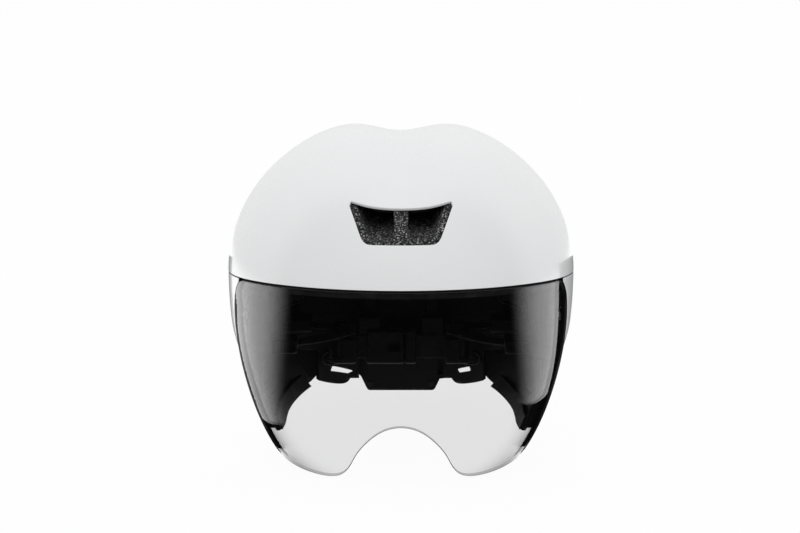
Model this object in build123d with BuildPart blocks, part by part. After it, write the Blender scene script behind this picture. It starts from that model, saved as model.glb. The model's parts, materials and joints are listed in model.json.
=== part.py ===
from build123d import *
from math import atan2, cos, exp, hypot, pi, radians, sin, sqrt, tan
import os

os.makedirs("parts", exist_ok=True)

# Aero time trial helmet. Millimetres, +Z up, the face towards -Y, the wearer's left at +X.
# The origin lies on the table, in the middle plane.

# Outer form
side_half = 103.2
front_half = 133.0
back_half = 170.0
upper_half = 89.8
lower_half = 137.0
form_centre_y = -12.0
form_centre_z = 105.0
form_floor_z = -8.0
low_shift_y = -60.0
low_front_share = 0.435
low_back_share = 0.25
tail_taper_share = 0.16
crest_depth = 9.9
crest_spread = 17.1
crest_start_share = 0.25
crest_run_share = 0.5
rear_fill_share = 0.5
least_level_share = 0.05
narrow_top_z = 78.0
narrow_run_z = 55.0
narrow_share = 0.085
form_steps = 48
form_tolerance = 0.05

# Walls and gaps
shell_wall = 1.8
lens_inset = 0.2
lens_wall = 2.0
seam = 0.6
seal_gap = 0.35
seal_wall = 2.0
foam_gap = 0.4
touch_gap = 0.05
still_gap = 0.3
moving_gap = 0.4
running_gap = 0.06
far = 260.0

# Side view lines, (y, z)
brow_line = [(-170.0, 116.2), (-144.0, 114.3), (-107.0, 111.5), (-73.0, 108.6), (-40.0, 105.8)]
seam_line = [(20.0, 98.5), (80.0, 86.0), (170.0, 60.0)]
lens_rear_line = [(-66.0, 105.6), (-58.0, 98.0), (-54.5, 86.0), (-58.0, 68.0), (-64.4, 55.9),
                  (-68.0, 50.0), (-77.0, 33.0), (-81.5, 18.0), (-82.0, 4.0)]
rim_line = [(-95.0, 23.5), (-77.0, 19.2), (-61.0, 17.2), (-29.0, 17.4), (11.0, 17.3), (43.0, 18.0),
            (62.0, 20.0), (78.0, 25.0), (96.0, 29.5), (112.0, 31.5), (170.0, 34.0)]
tail_top = (143.8, 126.0)
tail_bottom = (135.8, 48.0)
tuck_top_z = 54.0
tuck_depth = 6.0
panel_rear_y = 58.0
crown_z = 250.0
below_z = -40.0

# Front view lines, (x, z)
lens_lobe_line = [(84.0, 16.0), (74.0, 8.4), (66.0, 4.4), (57.0, 1.6), (47.5, 0.15), (41.0, 0.1),
                  (35.0, 1.8)]
lens_arch_line = [(30.6, 6.0), (26.0, 14.9), (18.6, 24.8), (10.2, 31.3), (0.0, 33.8)]

# Front vent
vent_top_half = 30.2
vent_corner_z = 159.9
vent_middle_z = 155.3
vent_bottom_half = 21.0
vent_bottom_z = 138.4
vent_bottom_round = 5.6
vent_top_round = 1.4
vent_front_y = -131.0
vent_depth = 76.0
vent_reach = 40.0
vent_rise_angle = 8.0
channel_wall = 3.4
channel_floor = 1.2
channel_top_drop = 3.0
divider_half_low = 3.3
divider_half_high = 4.2
channel_round = 2.6

# Head cavity in the foam
cavity_side = 80.0
cavity_front = 103.0
cavity_back = 99.0
cavity_up = 83.0
cavity_down = 900.0
cavity_y = -15.0
cavity_z = 81.0
foam_front_y = -43.0
foam_front_low_z = 62.0
foam_side_z = 52.0
foam_back_z = 32.0
foam_rear_line = [(58.0, 39.0), (84.0, 35.0)]
brow_lift = 4.8

# Exhaust
exhaust_x = 15.0
exhaust_z = 98.0
exhaust_wide = 21.0
exhaust_high = 26.0
exhaust_round = 5.0
exhaust_start_y = 60.0
tail_frame_wall = 3.0
tail_recess = 1.2
fin_wall = 1.6
fin_count = 3
grille_wall = 1.8
grille_border = 2.2

# Brow seal and lens seats
brow_seal_low = 5.0
brow_seal_high = 4.2
brow_seal_rear_y = -62.0
seat_before = 15.0
seat_behind = 7.0
seat_low_z = 73.0
seat_high_z = 98.5
trim_low = 0.8
trim_high = 8.0
trim_inset = 2.2
trim_rear_y = 44.0

# Lens magnets
magnet_radius = 4.0
magnet_thick = 1.4
magnet_y = -62.5
magnet_z = 86.0
pocket_radius = 5.4

# Pads
brow_pad_z = 121.0
brow_pad_angle = 58.0
brow_pad_tall = 13.0
side_pad_z = 88.0
side_pad_tall = 16.0
pad_thick = 8.0
side_pad_from = -14.0
side_pad_to = 38.0
crown_pad_x = 23.0
crown_pad_y = -8.0
crown_pad_z = 158.5
crown_pad_half = (13.0, 50.0, 9.5)
ear_pad_y = -26.0
ear_pad_z = 39.2
ear_pad_half = (8.0, 27.0, 12.0)
ear_pad_inset = 2.4

# Straps
web_wide = 15.0
web_thick = 1.6
strap_y = 22.0
strap_z = 49.0
slider_inner_x = 27.5
slider_outer_x = 41.5
slider_deep = 8.4
slider_tall = 21.0
slot_spare = 0.45
slider_top_extra = 5.0
web_drop = 1.0
web_stack_gap = 0.8
front_anchor = (70.5, -34.0, 62.0)
rear_anchor = (64.0, 36.0, 61.0)
anchor_half = (9.0, 10.5, 4.2)
anchor_round = 1.5
strap_sag_share = 0.02
strap_front_y = -2.2
strap_rear_y = 2.2
lever_round = 2.6
lever_long = 11.5
lever_thick = 2.2
lever_tall = 11.0
lever_pin = 1.1
lever_pin_inset = 3.2
lever_lug = 2.2
lever_travel = 75.0
tail_spare_x = 2.8

# Buckle
buckle_deep = 8.0
buckle_tall = 21.0
female_left_x = -21.0
female_right_x = 2.0
male_right_x = 9.5
female_wall = 1.7
prong_long = 12.6
prong_tall = 4.4
prong_spread = 5.8
prong_deep = 3.4
prong_gap = 0.45
male_travel = 14.0
buckle_round = 1.6
window_long = 7.0
window_tall = 5.4
web_hold = 5.0

# Retention cradle
cradle_y = 66.0
cradle_wall = 3.6
cradle_side_line = [(21.0, 11.6), (25.2, 20.5), (28.5, 24.0), (29.5, 47.4)]
cradle_round = 2.5
ear_x = 20.0
ear_half = 6.4
ear_low_z = 36.0
ear_top_z = 58.0
ear_deep = 9.6
rail_half = 3.0
rail_deep = 7.4
rail_front_y = 72.0
rail_low_z = 44.0
rail_high_z = 88.0
cradle_travel = 14.0
screw_radius = 1.2
screw_head_radius = 1.7
screw_shift = 0.45
screw_head_tall = 1.4
screw_bite = 3.0

# Dial, pinion and belts
dial_z = 30.0
dial_radius = 13.6
dial_thick = 8.2
dial_flutes = 18
flute_radius = 1.3
shaft_radius = 3.0
gear_module = 1.0
gear_teeth = 12
gear_thick = 4.2
gear_front_y = 61.2
tooth_thick_share = 0.40
tooth_out_share = 0.90
tooth_in_share = 1.25
flank_angle = 20.0
rack_back = 2.6
rack_reach = 9.0
rack_teeth_before = 2
rack_teeth_after = 5
dial_travel = 78.0
cover_wall = 2.0
cover_gap = 0.5
housing_half = 23.0
housing_wall = 2.0
belt_thick = 2.0
belt_bend = 30.0
belt_start_x = 26.5
belt_end_angle = 40.0
belt_lap = 3.0
belt_pad_angle = 62.0
belt_pad_half = (4.6, 11.0, 4.8)
belt_pad_z = 34.4
belt_pad_gap = 0.25
belt_low_line = [(32.0, 20.2), (34.6, 17.4), (41.0, 17.2), (49.0, 19.6), (58.0, 25.0)]
belt_window_right = [(29.4, 24.8), (43.1, 28.7), (44.4, 25.3), (33.7, 23.0)]
belt_window_left = [(35.6, 26.2), (43.1, 28.4), (43.9, 25.3), (37.2, 23.6)]
belt_window_round = 0.6


def rise(share):
    """A smooth step from 0 to 1."""
    share = min(max(share, 0), 1)
    return share * share * (3 - 2 * share)


def line_at(points, place):
    """The height of a broken line of (y, z) points at a place along it."""
    for (y0, z0), (y1, z1) in zip(points, points[1:]):
        if place <= y1:
            return z0 + (z1 - z0) * (place - y0) / (y1 - y0)
    return points[-1][1]


def filled(back, z):
    """How much fuller the rear is at low levels."""
    drop = max(form_centre_z - z, 0)
    level = sqrt(max(1 - (drop / lower_half) ** 2, least_level_share))
    return 1 + rear_fill_share * rise(drop / form_centre_z) * min(back / level, 1) ** 2


def bent(x, y, z, narrow):
    """The outer form's own bends: low levels move forward, the tail tapers, the crest dips."""
    low = rise((form_centre_z - z) / form_centre_z)
    stretch = 1 - low_front_share * low if y < 0 else 1 + low_back_share * low
    back = max(y / back_half, 0)
    x = x * (1 - tail_taper_share * back * back)
    x = x * filled(back, z)
    if narrow:
        x = x * (1 - narrow_share * rise((narrow_top_z - z) / narrow_run_z))
    up = (z - form_centre_z) / upper_half
    dip = crest_depth * rise((up - crest_start_share) / crest_run_share)
    z = z - dip * exp(-((x / crest_spread) ** 2) / 2)
    return x, form_centre_y + low_shift_y * low + y * stretch, z


def reach(turn, lean, halves):
    """How far an egg of six half lengths goes in a direction, as (x, y, z)."""
    side, front, back, up, down = halves
    x, y, z = sin(lean) * cos(turn), sin(lean) * sin(turn), cos(lean)
    long = front if y < 0 else back
    tall = up if z > 0 else down
    out = 1 / sqrt((x / side) ** 2 + (y / long) ** 2 + (z / tall) ** 2)
    return x * out, y * out, z * out


def lean_to(turn, depth, halves):
    """The lean at which the egg has come down by a depth below its centre."""
    low, high = pi / 2, pi
    for _ in range(40):
        middle = (low + high) / 2
        if -reach(turn, middle, halves)[2] < depth:
            low = middle
        else:
            high = middle
    return (low + high) / 2


def egg(halves, depth, place):
    """A closed solid through a grid of points on an egg, flat below."""
    rows = []
    for i in range(form_steps + 1):
        a = 2 * i / form_steps - 1
        row = []
        for j in range(form_steps + 1):
            b = 2 * j / form_steps - 1
            u, v = a * sqrt(1 - b * b / 2), b * sqrt(1 - a * a / 2)
            turn = atan2(v, u)
            lean = min(hypot(u, v), 1) * lean_to(turn, depth, halves)
            row.append(Vector(*place(*reach(turn, lean, halves))))
        rows.append(row)
    skin = Face.make_surface_from_array_of_points(rows, tol=form_tolerance, min_deg=3, max_deg=3)
    return Solid(Shell([skin, Face(Wire(skin.edges()))]))


def form(inset, narrow=True):
    """The outer form, drawn in by an inset."""
    halves = [half - inset for half in (side_half, front_half, back_half, upper_half, lower_half)]
    return egg(halves, form_centre_z - form_floor_z,
               lambda x, y, z: bent(x, y, form_centre_z + z, narrow))


def cavity(inset):
    """The head cavity, drawn in by an inset."""
    halves = [half - inset for half in (cavity_side, cavity_front, cavity_back, cavity_up)]
    return egg(halves + [cavity_down], cavity_z - below_z,
               lambda x, y, z: (x, cavity_y + y, cavity_z + z))


def surface_x(y, z, inset, narrow=True):
    """The form's half width at a point of the side view."""
    low = rise((form_centre_z - z) / form_centre_z)
    along = y - form_centre_y - low_shift_y * low
    along = along / (1 - low_front_share * low if along < 0 else 1 + low_back_share * low)
    long = (front_half if along < 0 else back_half) - inset
    tall = (upper_half if z > form_centre_z else lower_half) - inset
    left = 1 - (along / long) ** 2 - ((z - form_centre_z) / tall) ** 2
    back = max(along / back_half, 0)
    x = (side_half - inset) * sqrt(max(left, 0)) * (1 - tail_taper_share * back * back)
    x = x * filled(back, z)
    return x * (1 - narrow_share * rise((narrow_top_z - z) / narrow_run_z) if narrow else 1)


def band(points, low, high):
    """A side view strip that follows a line, from low to high above it."""
    return [[(y, z + high) for y, z in points], [(y, z + low) for y, z in reversed(points)]]


def side_prism(runs, start=-far, end=far):
    """A side view outline drawn out along X. Its runs of points are joined by straight lines,
    and a run of three points or more is a smooth curve."""
    with BuildPart() as prism:
        with BuildSketch(Plane.YZ.offset(start)):
            with BuildLine():
                for n, run in enumerate(runs):
                    after = runs[(n + 1) % len(runs)][0]
                    if len(run) > 2:
                        Spline(*run)
                    elif len(run) == 2:
                        Line(*run)
                    if run[-1] != after:
                        Line(run[-1], after)
            make_face()
        extrude(amount=end - start)
    return prism.part


def wall(outer, inner):
    """The wall between two forms."""
    with BuildPart() as skin:
        add(outer)
        add(inner, mode=Mode.SUBTRACT)
    return skin.part


def within(skin, outlines, start=-far, end=far):
    """The part of a wall that lies within every one of some side view outlines."""
    prisms = [side_prism(outline, start, end) for outline in outlines]
    with BuildPart() as piece:
        add(skin)
        for prism in prisms:
            add(prism, mode=Mode.INTERSECT)
    return piece.part


def block(x0, x1, y0, y1, z0, z1):
    """A plain block by its six faces."""
    with BuildPart(Location(((x0 + x1) / 2, (y0 + y1) / 2, (z0 + z1) / 2))) as piece:
        Box(x1 - x0, y1 - y0, z1 - z0)
    return piece.part


def mirrored(piece):
    """The same piece on the wearer's right."""
    return piece.mirror(Plane.YZ)


def save(piece, name):
    """Labels a piece and writes its STEP file."""
    piece.label = name
    export_step(piece, "parts/" + name + ".step")


def tail_at(z, back=0):
    """The y of the cut tail at a height."""
    (y1, z1), (y0, z0) = tail_top, tail_bottom
    return y0 + (y1 - y0) * (z - z0) / (z1 - z0) - back


# Outlines in the side view, as runs of points
split_line = brow_line + seam_line
rear_edge = [(tail_at(crown_z), crown_z), (tail_at(below_z), below_z)]
shell_outline = [split_line, [(far, seam_line[-1][1]), (far, crown_z)], [(brow_line[0][0], crown_z)]]

panel_upper = [(y + seam, z) for y, z in lens_rear_line if z > tuck_top_z]
panel_lower = [(y - tuck_depth, z) for y, z in lens_rear_line if z < tuck_top_z]
panel_outline = [panel_upper, panel_lower,
                 [(panel_lower[-1][0], below_z), (panel_rear_y, below_z)],
                 [(panel_rear_y, crown_z), (panel_upper[0][0], crown_z)]]
rear_start = panel_rear_y + seam
rear_outline = [[(rear_start, below_z), (far, below_z)], [(far, crown_z), (rear_start, crown_z)]]
under_seam = [[(y, z - seam) for y, z in split_line], [(far, seam_line[-1][1] - seam), (far, below_z)],
              [(brow_line[0][0], below_z)]]
over_rim = [rim_line, [(far, rim_line[-1][1]), (far, crown_z)], [(rim_line[0][0], crown_z)]]
before_tail = [[rear_edge[0], rear_edge[1]], [(-far, below_z), (-far, crown_z)]]

lens_top = [(y, z - seam) for y, z in brow_line if y < lens_rear_line[0][0]]
lens_outline = [lens_rear_line, [(lens_rear_line[-1][0], below_z), (brow_line[0][0], below_z)],
                [(y, z - seam) for y, z in lens_top]]

shell_wall_skin = wall(form(0), form(shell_wall))
foam_form = form(shell_wall + foam_gap)
cavity_form = cavity(0)


# Outer shell
def vent_block():
    """The front vent's opening, drawn out along Y."""
    with BuildPart() as block:
        with BuildSketch(Plane.XZ.offset(-vent_front_y)) as opening:
            with BuildLine():
                top = ThreePointArc((-vent_top_half, vent_corner_z), (0, vent_middle_z),
                                    (vent_top_half, vent_corner_z))
                Polyline(top @ 1, (vent_bottom_half, vent_bottom_z),
                         (-vent_bottom_half, vent_bottom_z), top @ 0)
            make_face()
            fillet(opening.vertices().sort_by(Axis.Y)[:2], vent_bottom_round)
            fillet(opening.vertices().sort_by(Axis.Y)[-2:], vent_top_round)
        extrude(amount=vent_reach, both=True)
    return block.part


shell_piece = within(shell_wall_skin, [shell_outline, before_tail])
vent_cut = vent_block()
with BuildPart() as outer_shell:
    add(shell_piece)
    add(vent_cut, mode=Mode.SUBTRACT)
save(outer_shell.part, "outer_shell")

# Side panels
below_seam = within(shell_wall_skin, [under_seam, over_rim, before_tail])
side_panel = within(below_seam, [panel_outline], 0, far)
save(side_panel, "side_panel_left")
save(mirrored(side_panel), "side_panel_right")

# Rear panel
save(within(below_seam, [rear_outline]), "rear_panel")


# Tail frame, set into the cut tail
def tail_slab(near, wall):
    """A side view slice along the cut tail."""
    return side_prism([[(tail_at(crown_z, near), crown_z), (tail_at(below_z, near), below_z)],
                       [(tail_at(below_z, near + wall), below_z),
                        (tail_at(crown_z, near + wall), crown_z)]])


def exhaust_openings():
    """Both exhaust openings, drawn out along Y."""
    with BuildPart() as openings:
        with BuildSketch(Plane.XZ.offset(-exhaust_start_y)):
            with Locations((-exhaust_x, exhaust_z), (exhaust_x, exhaust_z)):
                RectangleRounded(exhaust_wide, exhaust_high, exhaust_round)
        extrude(amount=-far)
    return openings.part


exhaust_cut = exhaust_openings()
with BuildPart() as tail_frame:
    add(tail_slab(tail_recess, tail_frame_wall))
    add(foam_form, mode=Mode.INTERSECT)
    add(exhaust_cut, mode=Mode.SUBTRACT)
save(tail_frame.part, "tail_frame")

# Exhaust grille, behind the frame
grille_start = tail_recess + tail_frame_wall + touch_gap
with BuildPart() as grille_block:
    with BuildSketch(Plane.XZ.offset(-exhaust_start_y)):
        with Locations((0, exhaust_z)):
            RectangleRounded(2 * exhaust_x + exhaust_wide + 2 * grille_border,
                             exhaust_high + 2 * grille_border, exhaust_round)
        slot_wide = (exhaust_wide - (fin_count + 1) * fin_wall) / fin_count
        for side in (-1, 1):
            for n in range(fin_count):
                along = (n - (fin_count - 1) / 2) * (slot_wide + fin_wall)
                with Locations((side * exhaust_x + along, exhaust_z)):
                    RectangleRounded(slot_wide, exhaust_high, slot_wide / 3,
                                     mode=Mode.SUBTRACT)
    extrude(amount=-far)

with BuildPart() as exhaust_grille:
    add(tail_slab(grille_start, grille_wall))
    add(grille_block.part, mode=Mode.INTERSECT)
save(exhaust_grille.part, "exhaust_grille")


# Foam liner
def intake_channel(side):
    """One intake channel through the foam, drawn out back and up."""
    inner_low, inner_high = side * divider_half_low, side * divider_half_high
    low = vent_bottom_z + channel_floor
    outer_low = side * (vent_bottom_half - channel_wall)
    outer_high = side * (vent_top_half - channel_wall)
    rising = radians(vent_rise_angle)
    with BuildPart() as channel:
        with BuildSketch(Plane.XZ.offset(-vent_front_y)) as mouth:
            with BuildLine():
                Polyline((inner_low, low), (outer_low, low),
                         (outer_high, vent_corner_z - channel_top_drop),
                         (inner_high, vent_middle_z - channel_top_drop), close=True)
            make_face()
            fillet(mouth.vertices(), channel_round)
        extrude(amount=vent_reach / 2, dir=(0, -cos(rising), -sin(rising)))
        extrude(mouth.sketch, amount=vent_depth, dir=(0, cos(rising), sin(rising)))
    return channel.part


foam_back = grille_start + grille_wall + touch_gap
foam_top = [(y, z + brow_lift) for y, z in brow_line if y < foam_front_y]
foam_corner_z = line_at(brow_line, foam_front_y) + brow_lift
foam_outline = [foam_top, [(foam_front_y, foam_corner_z), (foam_front_y, foam_front_low_z)],
                [(foam_front_y + foam_front_low_z - foam_side_z, foam_side_z), (strap_y, foam_side_z)],
                foam_rear_line,
                [(tail_at(foam_back_z, foam_back), foam_back_z),
                 (tail_at(crown_z, foam_back), crown_z)], [(foam_top[0][0], crown_z)]]
channels = [intake_channel(side) for side in (-1, 1)]
foam_block = side_prism(foam_outline)
with BuildPart() as foam_liner:
    add(foam_block)
    add(foam_form, mode=Mode.INTERSECT)
    add(cavity_form, mode=Mode.SUBTRACT)
    for channel in channels:
        add(channel, mode=Mode.SUBTRACT)
    add(exhaust_cut, mode=Mode.SUBTRACT)
save(foam_liner.part, "foam_liner")

# Lens
lens_inner = lens_inset + lens_wall
lens_skin = within(wall(form(lens_inset, False), form(lens_inner, False)), [lens_outline])


def lens_front():
    """What the lens covers in the front view, drawn out along Y."""
    left = lens_lobe_line + lens_arch_line
    right = [(-x, z) for x, z in reversed(left[:-1])]
    with BuildPart() as front:
        with BuildSketch(Plane.XZ):
            with BuildLine():
                edge = Spline(*left, *right)
                Polyline(edge @ 1, (-far, left[0][1]), (-far, crown_z), (far, crown_z),
                         (far, left[0][1]), edge @ 0)
            make_face()
        extrude(amount=far)
    return front.part


with BuildPart() as lens:
    add(lens_skin)
    add(lens_front(), mode=Mode.INTERSECT)
save(lens.part, "lens")

# Brow seal
seal_skin = wall(form(lens_inner + seal_gap, False),
                 form(lens_inner + seal_gap + seal_wall, False))
seal_line = [p for p in brow_line if p[0] < brow_seal_rear_y]
seal_line += [(brow_seal_rear_y, line_at(brow_line, brow_seal_rear_y))]
save(within(seal_skin, [band(seal_line, -brow_seal_low, brow_seal_high)]), "brow_seal")


# Lens seats with their magnet slots
def edge_y(z):
    """The lens's rear edge at a height."""
    return line_at([(-h, y) for y, h in lens_rear_line], -z)


def cylinder_x(radius, y, z, start, end):
    """A cylinder along X."""
    with BuildPart() as rod:
        with BuildSketch(Plane.YZ.offset(start)):
            with Locations((y, z)):
                Circle(radius)
        extrude(amount=end - start)
    return rod.part


def plug(outer_inset, inner_inset, radius):
    """A disc that follows the form between two insets, at the magnet's place."""
    with BuildPart() as disc:
        add(cylinder_x(radius, magnet_y, magnet_z, 0, far))
        add(form(outer_inset, False), mode=Mode.INTERSECT)
        add(form(inner_inset, False), mode=Mode.SUBTRACT)
    return disc.part


seat_levels = [seat_low_z, magnet_z - magnet_radius, magnet_z, magnet_z + magnet_radius, seat_high_z]
seat_outline = [[(edge_y(z) - seat_before, z) for z in seat_levels],
                [(edge_y(z) + seat_behind, z) for z in reversed(seat_levels)]]
seat_skin = within(seal_skin, [seat_outline], 0, far)
slot_half = magnet_radius + moving_gap
slot_round = cylinder_x(slot_half, magnet_y, magnet_z, 0, far)
slot_block = block(0, far, -far, magnet_y, magnet_z - slot_half, magnet_z + slot_half)
with BuildPart() as seat:
    add(seat_skin)
    add(slot_round, mode=Mode.SUBTRACT)
    add(slot_block, mode=Mode.SUBTRACT)
save(seat.part, "lens_seat_left")
save(mirrored(seat.part), "lens_seat_right")

# Magnets, one pair on the lens and one pair behind the seats, in cups
lens_disc = plug(lens_inner + touch_gap, lens_inner + touch_gap + magnet_thick, magnet_radius)
seat_back = lens_inner + seal_gap + seal_wall + touch_gap
cup_wall = pocket_radius - magnet_radius
cup_outer = plug(seat_back, seat_back + magnet_thick + cup_wall, pocket_radius)
cup_hollow = plug(0, seat_back + magnet_thick + touch_gap, magnet_radius + touch_gap)
shell_disc = plug(seat_back, seat_back + magnet_thick, magnet_radius)
with BuildPart() as cup:
    add(cup_outer)
    add(cup_hollow, mode=Mode.SUBTRACT)
save(cup.part, "magnet_cup_left")
save(mirrored(cup.part), "magnet_cup_right")
save(Compound([lens_disc, mirrored(lens_disc)]), "lens_magnets")
save(Compound([shell_disc, mirrored(shell_disc)]), "shell_magnets")

# Rim trims, inside the side panels' lower edges
trim_line = [p for p in rim_line if lens_rear_line[-1][0] < p[0] < trim_rear_y - trim_inset]
trim_line += [(trim_rear_y, line_at(rim_line, trim_rear_y))]
trim_skin = wall(form(trim_inset), form(trim_inset + seal_wall))
trim = within(trim_skin, [band(trim_line, trim_low, trim_high)], 0, far)
save(trim, "rim_trim_left")
save(mirrored(trim), "rim_trim_right")

# Pads, cut to the foam that they lie on
pad_wall = cavity(still_gap)


def cushion(centre, halves):
    """An egg shaped cushion."""
    side, long, tall = halves
    return Pos(*centre) * scale(Sphere(tall), by=(side / tall, long / tall, 1))


def wall_pad(z, start, end, tall):
    """A cushion along the cavity's wall at a height, between two angles."""
    share = sqrt(1 - ((z - cavity_z) / cavity_up) ** 2)
    with BuildPart() as pad:
        with BuildLine(Plane.XY.offset(z)) as path:
            EllipticalCenterArc((0, cavity_y), cavity_side * share, cavity_front * share,
                                start_angle=start, arc_size=end - start)
        along = path.line % 0
        with BuildSketch(Plane(path.line @ 0, x_dir=along.cross(Vector(0, 0, 1)), z_dir=along)):
            Ellipse(pad_thick, tall)
        sweep(path=path.line)
        add(pad_wall, mode=Mode.INTERSECT)
    return pad.part


def hugging(shape, wall):
    """The part of a cushion within a wall."""
    with BuildPart() as pad:
        add(shape)
        add(wall, mode=Mode.INTERSECT)
    return pad.part


save(wall_pad(brow_pad_z, 270 - brow_pad_angle, 270 + brow_pad_angle, brow_pad_tall), "brow_pad")
side_pad = wall_pad(side_pad_z, side_pad_from, side_pad_to, side_pad_tall)
save(side_pad, "side_pad_left")
save(mirrored(side_pad), "side_pad_right")
crown_pad = hugging(cushion((crown_pad_x, crown_pad_y, crown_pad_z), crown_pad_half), pad_wall)
save(crown_pad, "crown_pad_left")
save(mirrored(crown_pad), "crown_pad_right")
ear_pad_x = surface_x(ear_pad_y, ear_pad_z, ear_pad_inset)
ear_pad = hugging(cushion((ear_pad_x, ear_pad_y, ear_pad_z), ear_pad_half), form(ear_pad_inset))
save(ear_pad, "ear_pad_left")
save(mirrored(ear_pad), "ear_pad_right")


# Chin strap, sliders, levers and buckle
def rounded_block(x0, x1, y0, y1, z0, z1, rounding):
    """A block with all its edges rounded."""
    with BuildPart() as piece:
        add(block(x0, x1, y0, y1, z0, z1))
        fillet(piece.edges(), rounding)
    return piece.part


web_half = web_wide / 2
slot_tall = web_wide + 2 * slot_spare
slot_deep = web_thick + 2 * slot_spare
slot_cut = block(-far, far, strap_y - slot_deep / 2, strap_y + slot_deep / 2,
                 strap_z - slot_tall / 2, strap_z + slot_tall / 2)

# Webs from the sliders up to the foam
def web(start, end, grow=0):
    """A flat web between two points, sagging a little."""
    a, b = Vector(*start), Vector(*end)
    middle = (a + b) * 0.5 - Vector(0, 0, strap_sag_share * (b - a).length)
    with BuildPart() as strap:
        with BuildLine() as path:
            ThreePointArc(a, middle, b)
        along = path.line % 0
        level = along.cross(Vector(0, 0, 1))
        with BuildSketch(Plane(a, x_dir=level, z_dir=along)):
            Rectangle(web_wide + 2 * grow, web_thick + 2 * grow)
        sweep(path=path.line)
    return strap.part


web_x = (slider_inner_x + slider_outer_x) / 2
front_web_z = strap_z + slider_tall / 2 - web_drop
rear_web_z = front_web_z + web_thick + web_stack_gap
front_spot = (web_x, strap_y + strap_front_y, front_web_z)
rear_spot = (web_x, strap_y + strap_rear_y, rear_web_z)
front_web, rear_web = web(front_spot, front_anchor), web(rear_spot, rear_anchor)
web_pockets = [web(front_spot, front_anchor, touch_gap), web(rear_spot, rear_anchor, touch_gap)]
save(front_web, "front_strap_left")
save(mirrored(front_web), "front_strap_right")
save(rear_web, "rear_strap_left")
save(mirrored(rear_web), "rear_strap_right")


# Strap anchors, clips on the cavity's wall
def anchor(spot):
    """A clip that the end of a web goes into."""
    half_x, half_y, half_z = anchor_half
    x, y, z = spot
    shape = rounded_block(x - half_x, x + half_x, y - half_y, y + half_y,
                          z - half_z, z + half_z, anchor_round)
    with BuildPart() as clip:
        add(shape)
        add(pad_wall, mode=Mode.INTERSECT)
        for pocket in web_pockets:
            add(pocket, mode=Mode.SUBTRACT)
    return clip.part


clips = [anchor(front_anchor), anchor(rear_anchor)]
save(Compound(clips + [mirrored(clip) for clip in clips]), "strap_anchors")

# Slider body with two lugs in front that hold the lever's pin
slider_front = strap_y - slider_deep / 2
pin_x = slider_outer_x - lever_pin_inset
pin_y = slider_front - lever_round
lug_half = lever_tall / 2 + moving_gap
with BuildPart() as slider:
    add(rounded_block(slider_inner_x, slider_outer_x, slider_front, strap_y + slider_deep / 2,
                      strap_z - slider_tall / 2, strap_z + slider_tall / 2 + slider_top_extra,
                      buckle_round))
    add(slot_cut, mode=Mode.SUBTRACT)
    for pocket in web_pockets:
        add(pocket, mode=Mode.SUBTRACT)
    for z in (strap_z - lug_half - lever_lug, strap_z + lug_half):
        add(block(pin_x - lever_round, pin_x + lever_round, pin_y - lever_round,
                  slider_front + buckle_round, z, z + lever_lug))
    with BuildSketch(Plane.XY.offset(strap_z - lug_half - lever_lug)):
        with Locations((pin_x, pin_y)):
            Circle(lever_pin)
    extrude(amount=2 * (lug_half + lever_lug))
save(slider.part, "strap_slider_left")
save(mirrored(slider.part), "strap_slider_right")

# Cam lever on the pin
with BuildPart() as lever:
    with BuildSketch(Plane.XY.offset(strap_z - lever_tall / 2)):
        with Locations((pin_x, pin_y)):
            Circle(lever_round - moving_gap)
        with Locations((pin_x - lever_long / 2, pin_y)):
            SlotOverall(lever_long, lever_thick)
        with Locations((pin_x, pin_y)):
            Circle(lever_pin + running_gap, mode=Mode.SUBTRACT)
    extrude(amount=lever_tall)
save(lever.part, "cam_lever_left")
save(mirrored(lever.part), "cam_lever_right")

# Chin strap halves
strap_y0, strap_y1 = strap_y - web_thick / 2, strap_y + web_thick / 2
tail_x = slider_outer_x + tail_spare_x
left_start = male_right_x - web_hold
save(block(left_start, tail_x, strap_y0, strap_y1, strap_z - web_half, strap_z + web_half),
     "chin_strap_left")
save(block(-tail_x, female_left_x + web_hold, strap_y0, strap_y1,
           strap_z - web_half, strap_z + web_half), "chin_strap_right")

# Female half, hollow, with a slot for the web and a window that the prongs show in
buckle_front, buckle_rear = strap_y - buckle_deep / 2, strap_y + buckle_deep / 2
buckle_low, buckle_top = strap_z - buckle_tall / 2, strap_z + buckle_tall / 2
prong_hole_y = prong_deep / 2 + prong_gap
prong_reach_z = prong_spread + prong_tall / 2
with BuildPart() as female:
    add(rounded_block(female_left_x, female_right_x, buckle_front, buckle_rear,
                      buckle_low, buckle_top, buckle_round))
    add(block(female_right_x - prong_long - prong_gap, female_right_x + buckle_round,
              strap_y - prong_hole_y, strap_y + prong_hole_y,
              strap_z - prong_reach_z - prong_gap, strap_z + prong_reach_z + prong_gap),
        mode=Mode.SUBTRACT)
    add(block(female_left_x - buckle_round, female_left_x + web_hold + touch_gap,
              strap_y0 - touch_gap, strap_y1 + touch_gap, strap_z - web_half - touch_gap,
              strap_z + web_half + touch_gap), mode=Mode.SUBTRACT)
    window_x = female_right_x - prong_long / 2
    add(block(window_x - window_long / 2, window_x + window_long / 2, buckle_front - buckle_round,
              strap_y, strap_z - window_tall / 2, strap_z + window_tall / 2), mode=Mode.SUBTRACT)
save(female.part, "buckle_female")

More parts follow.
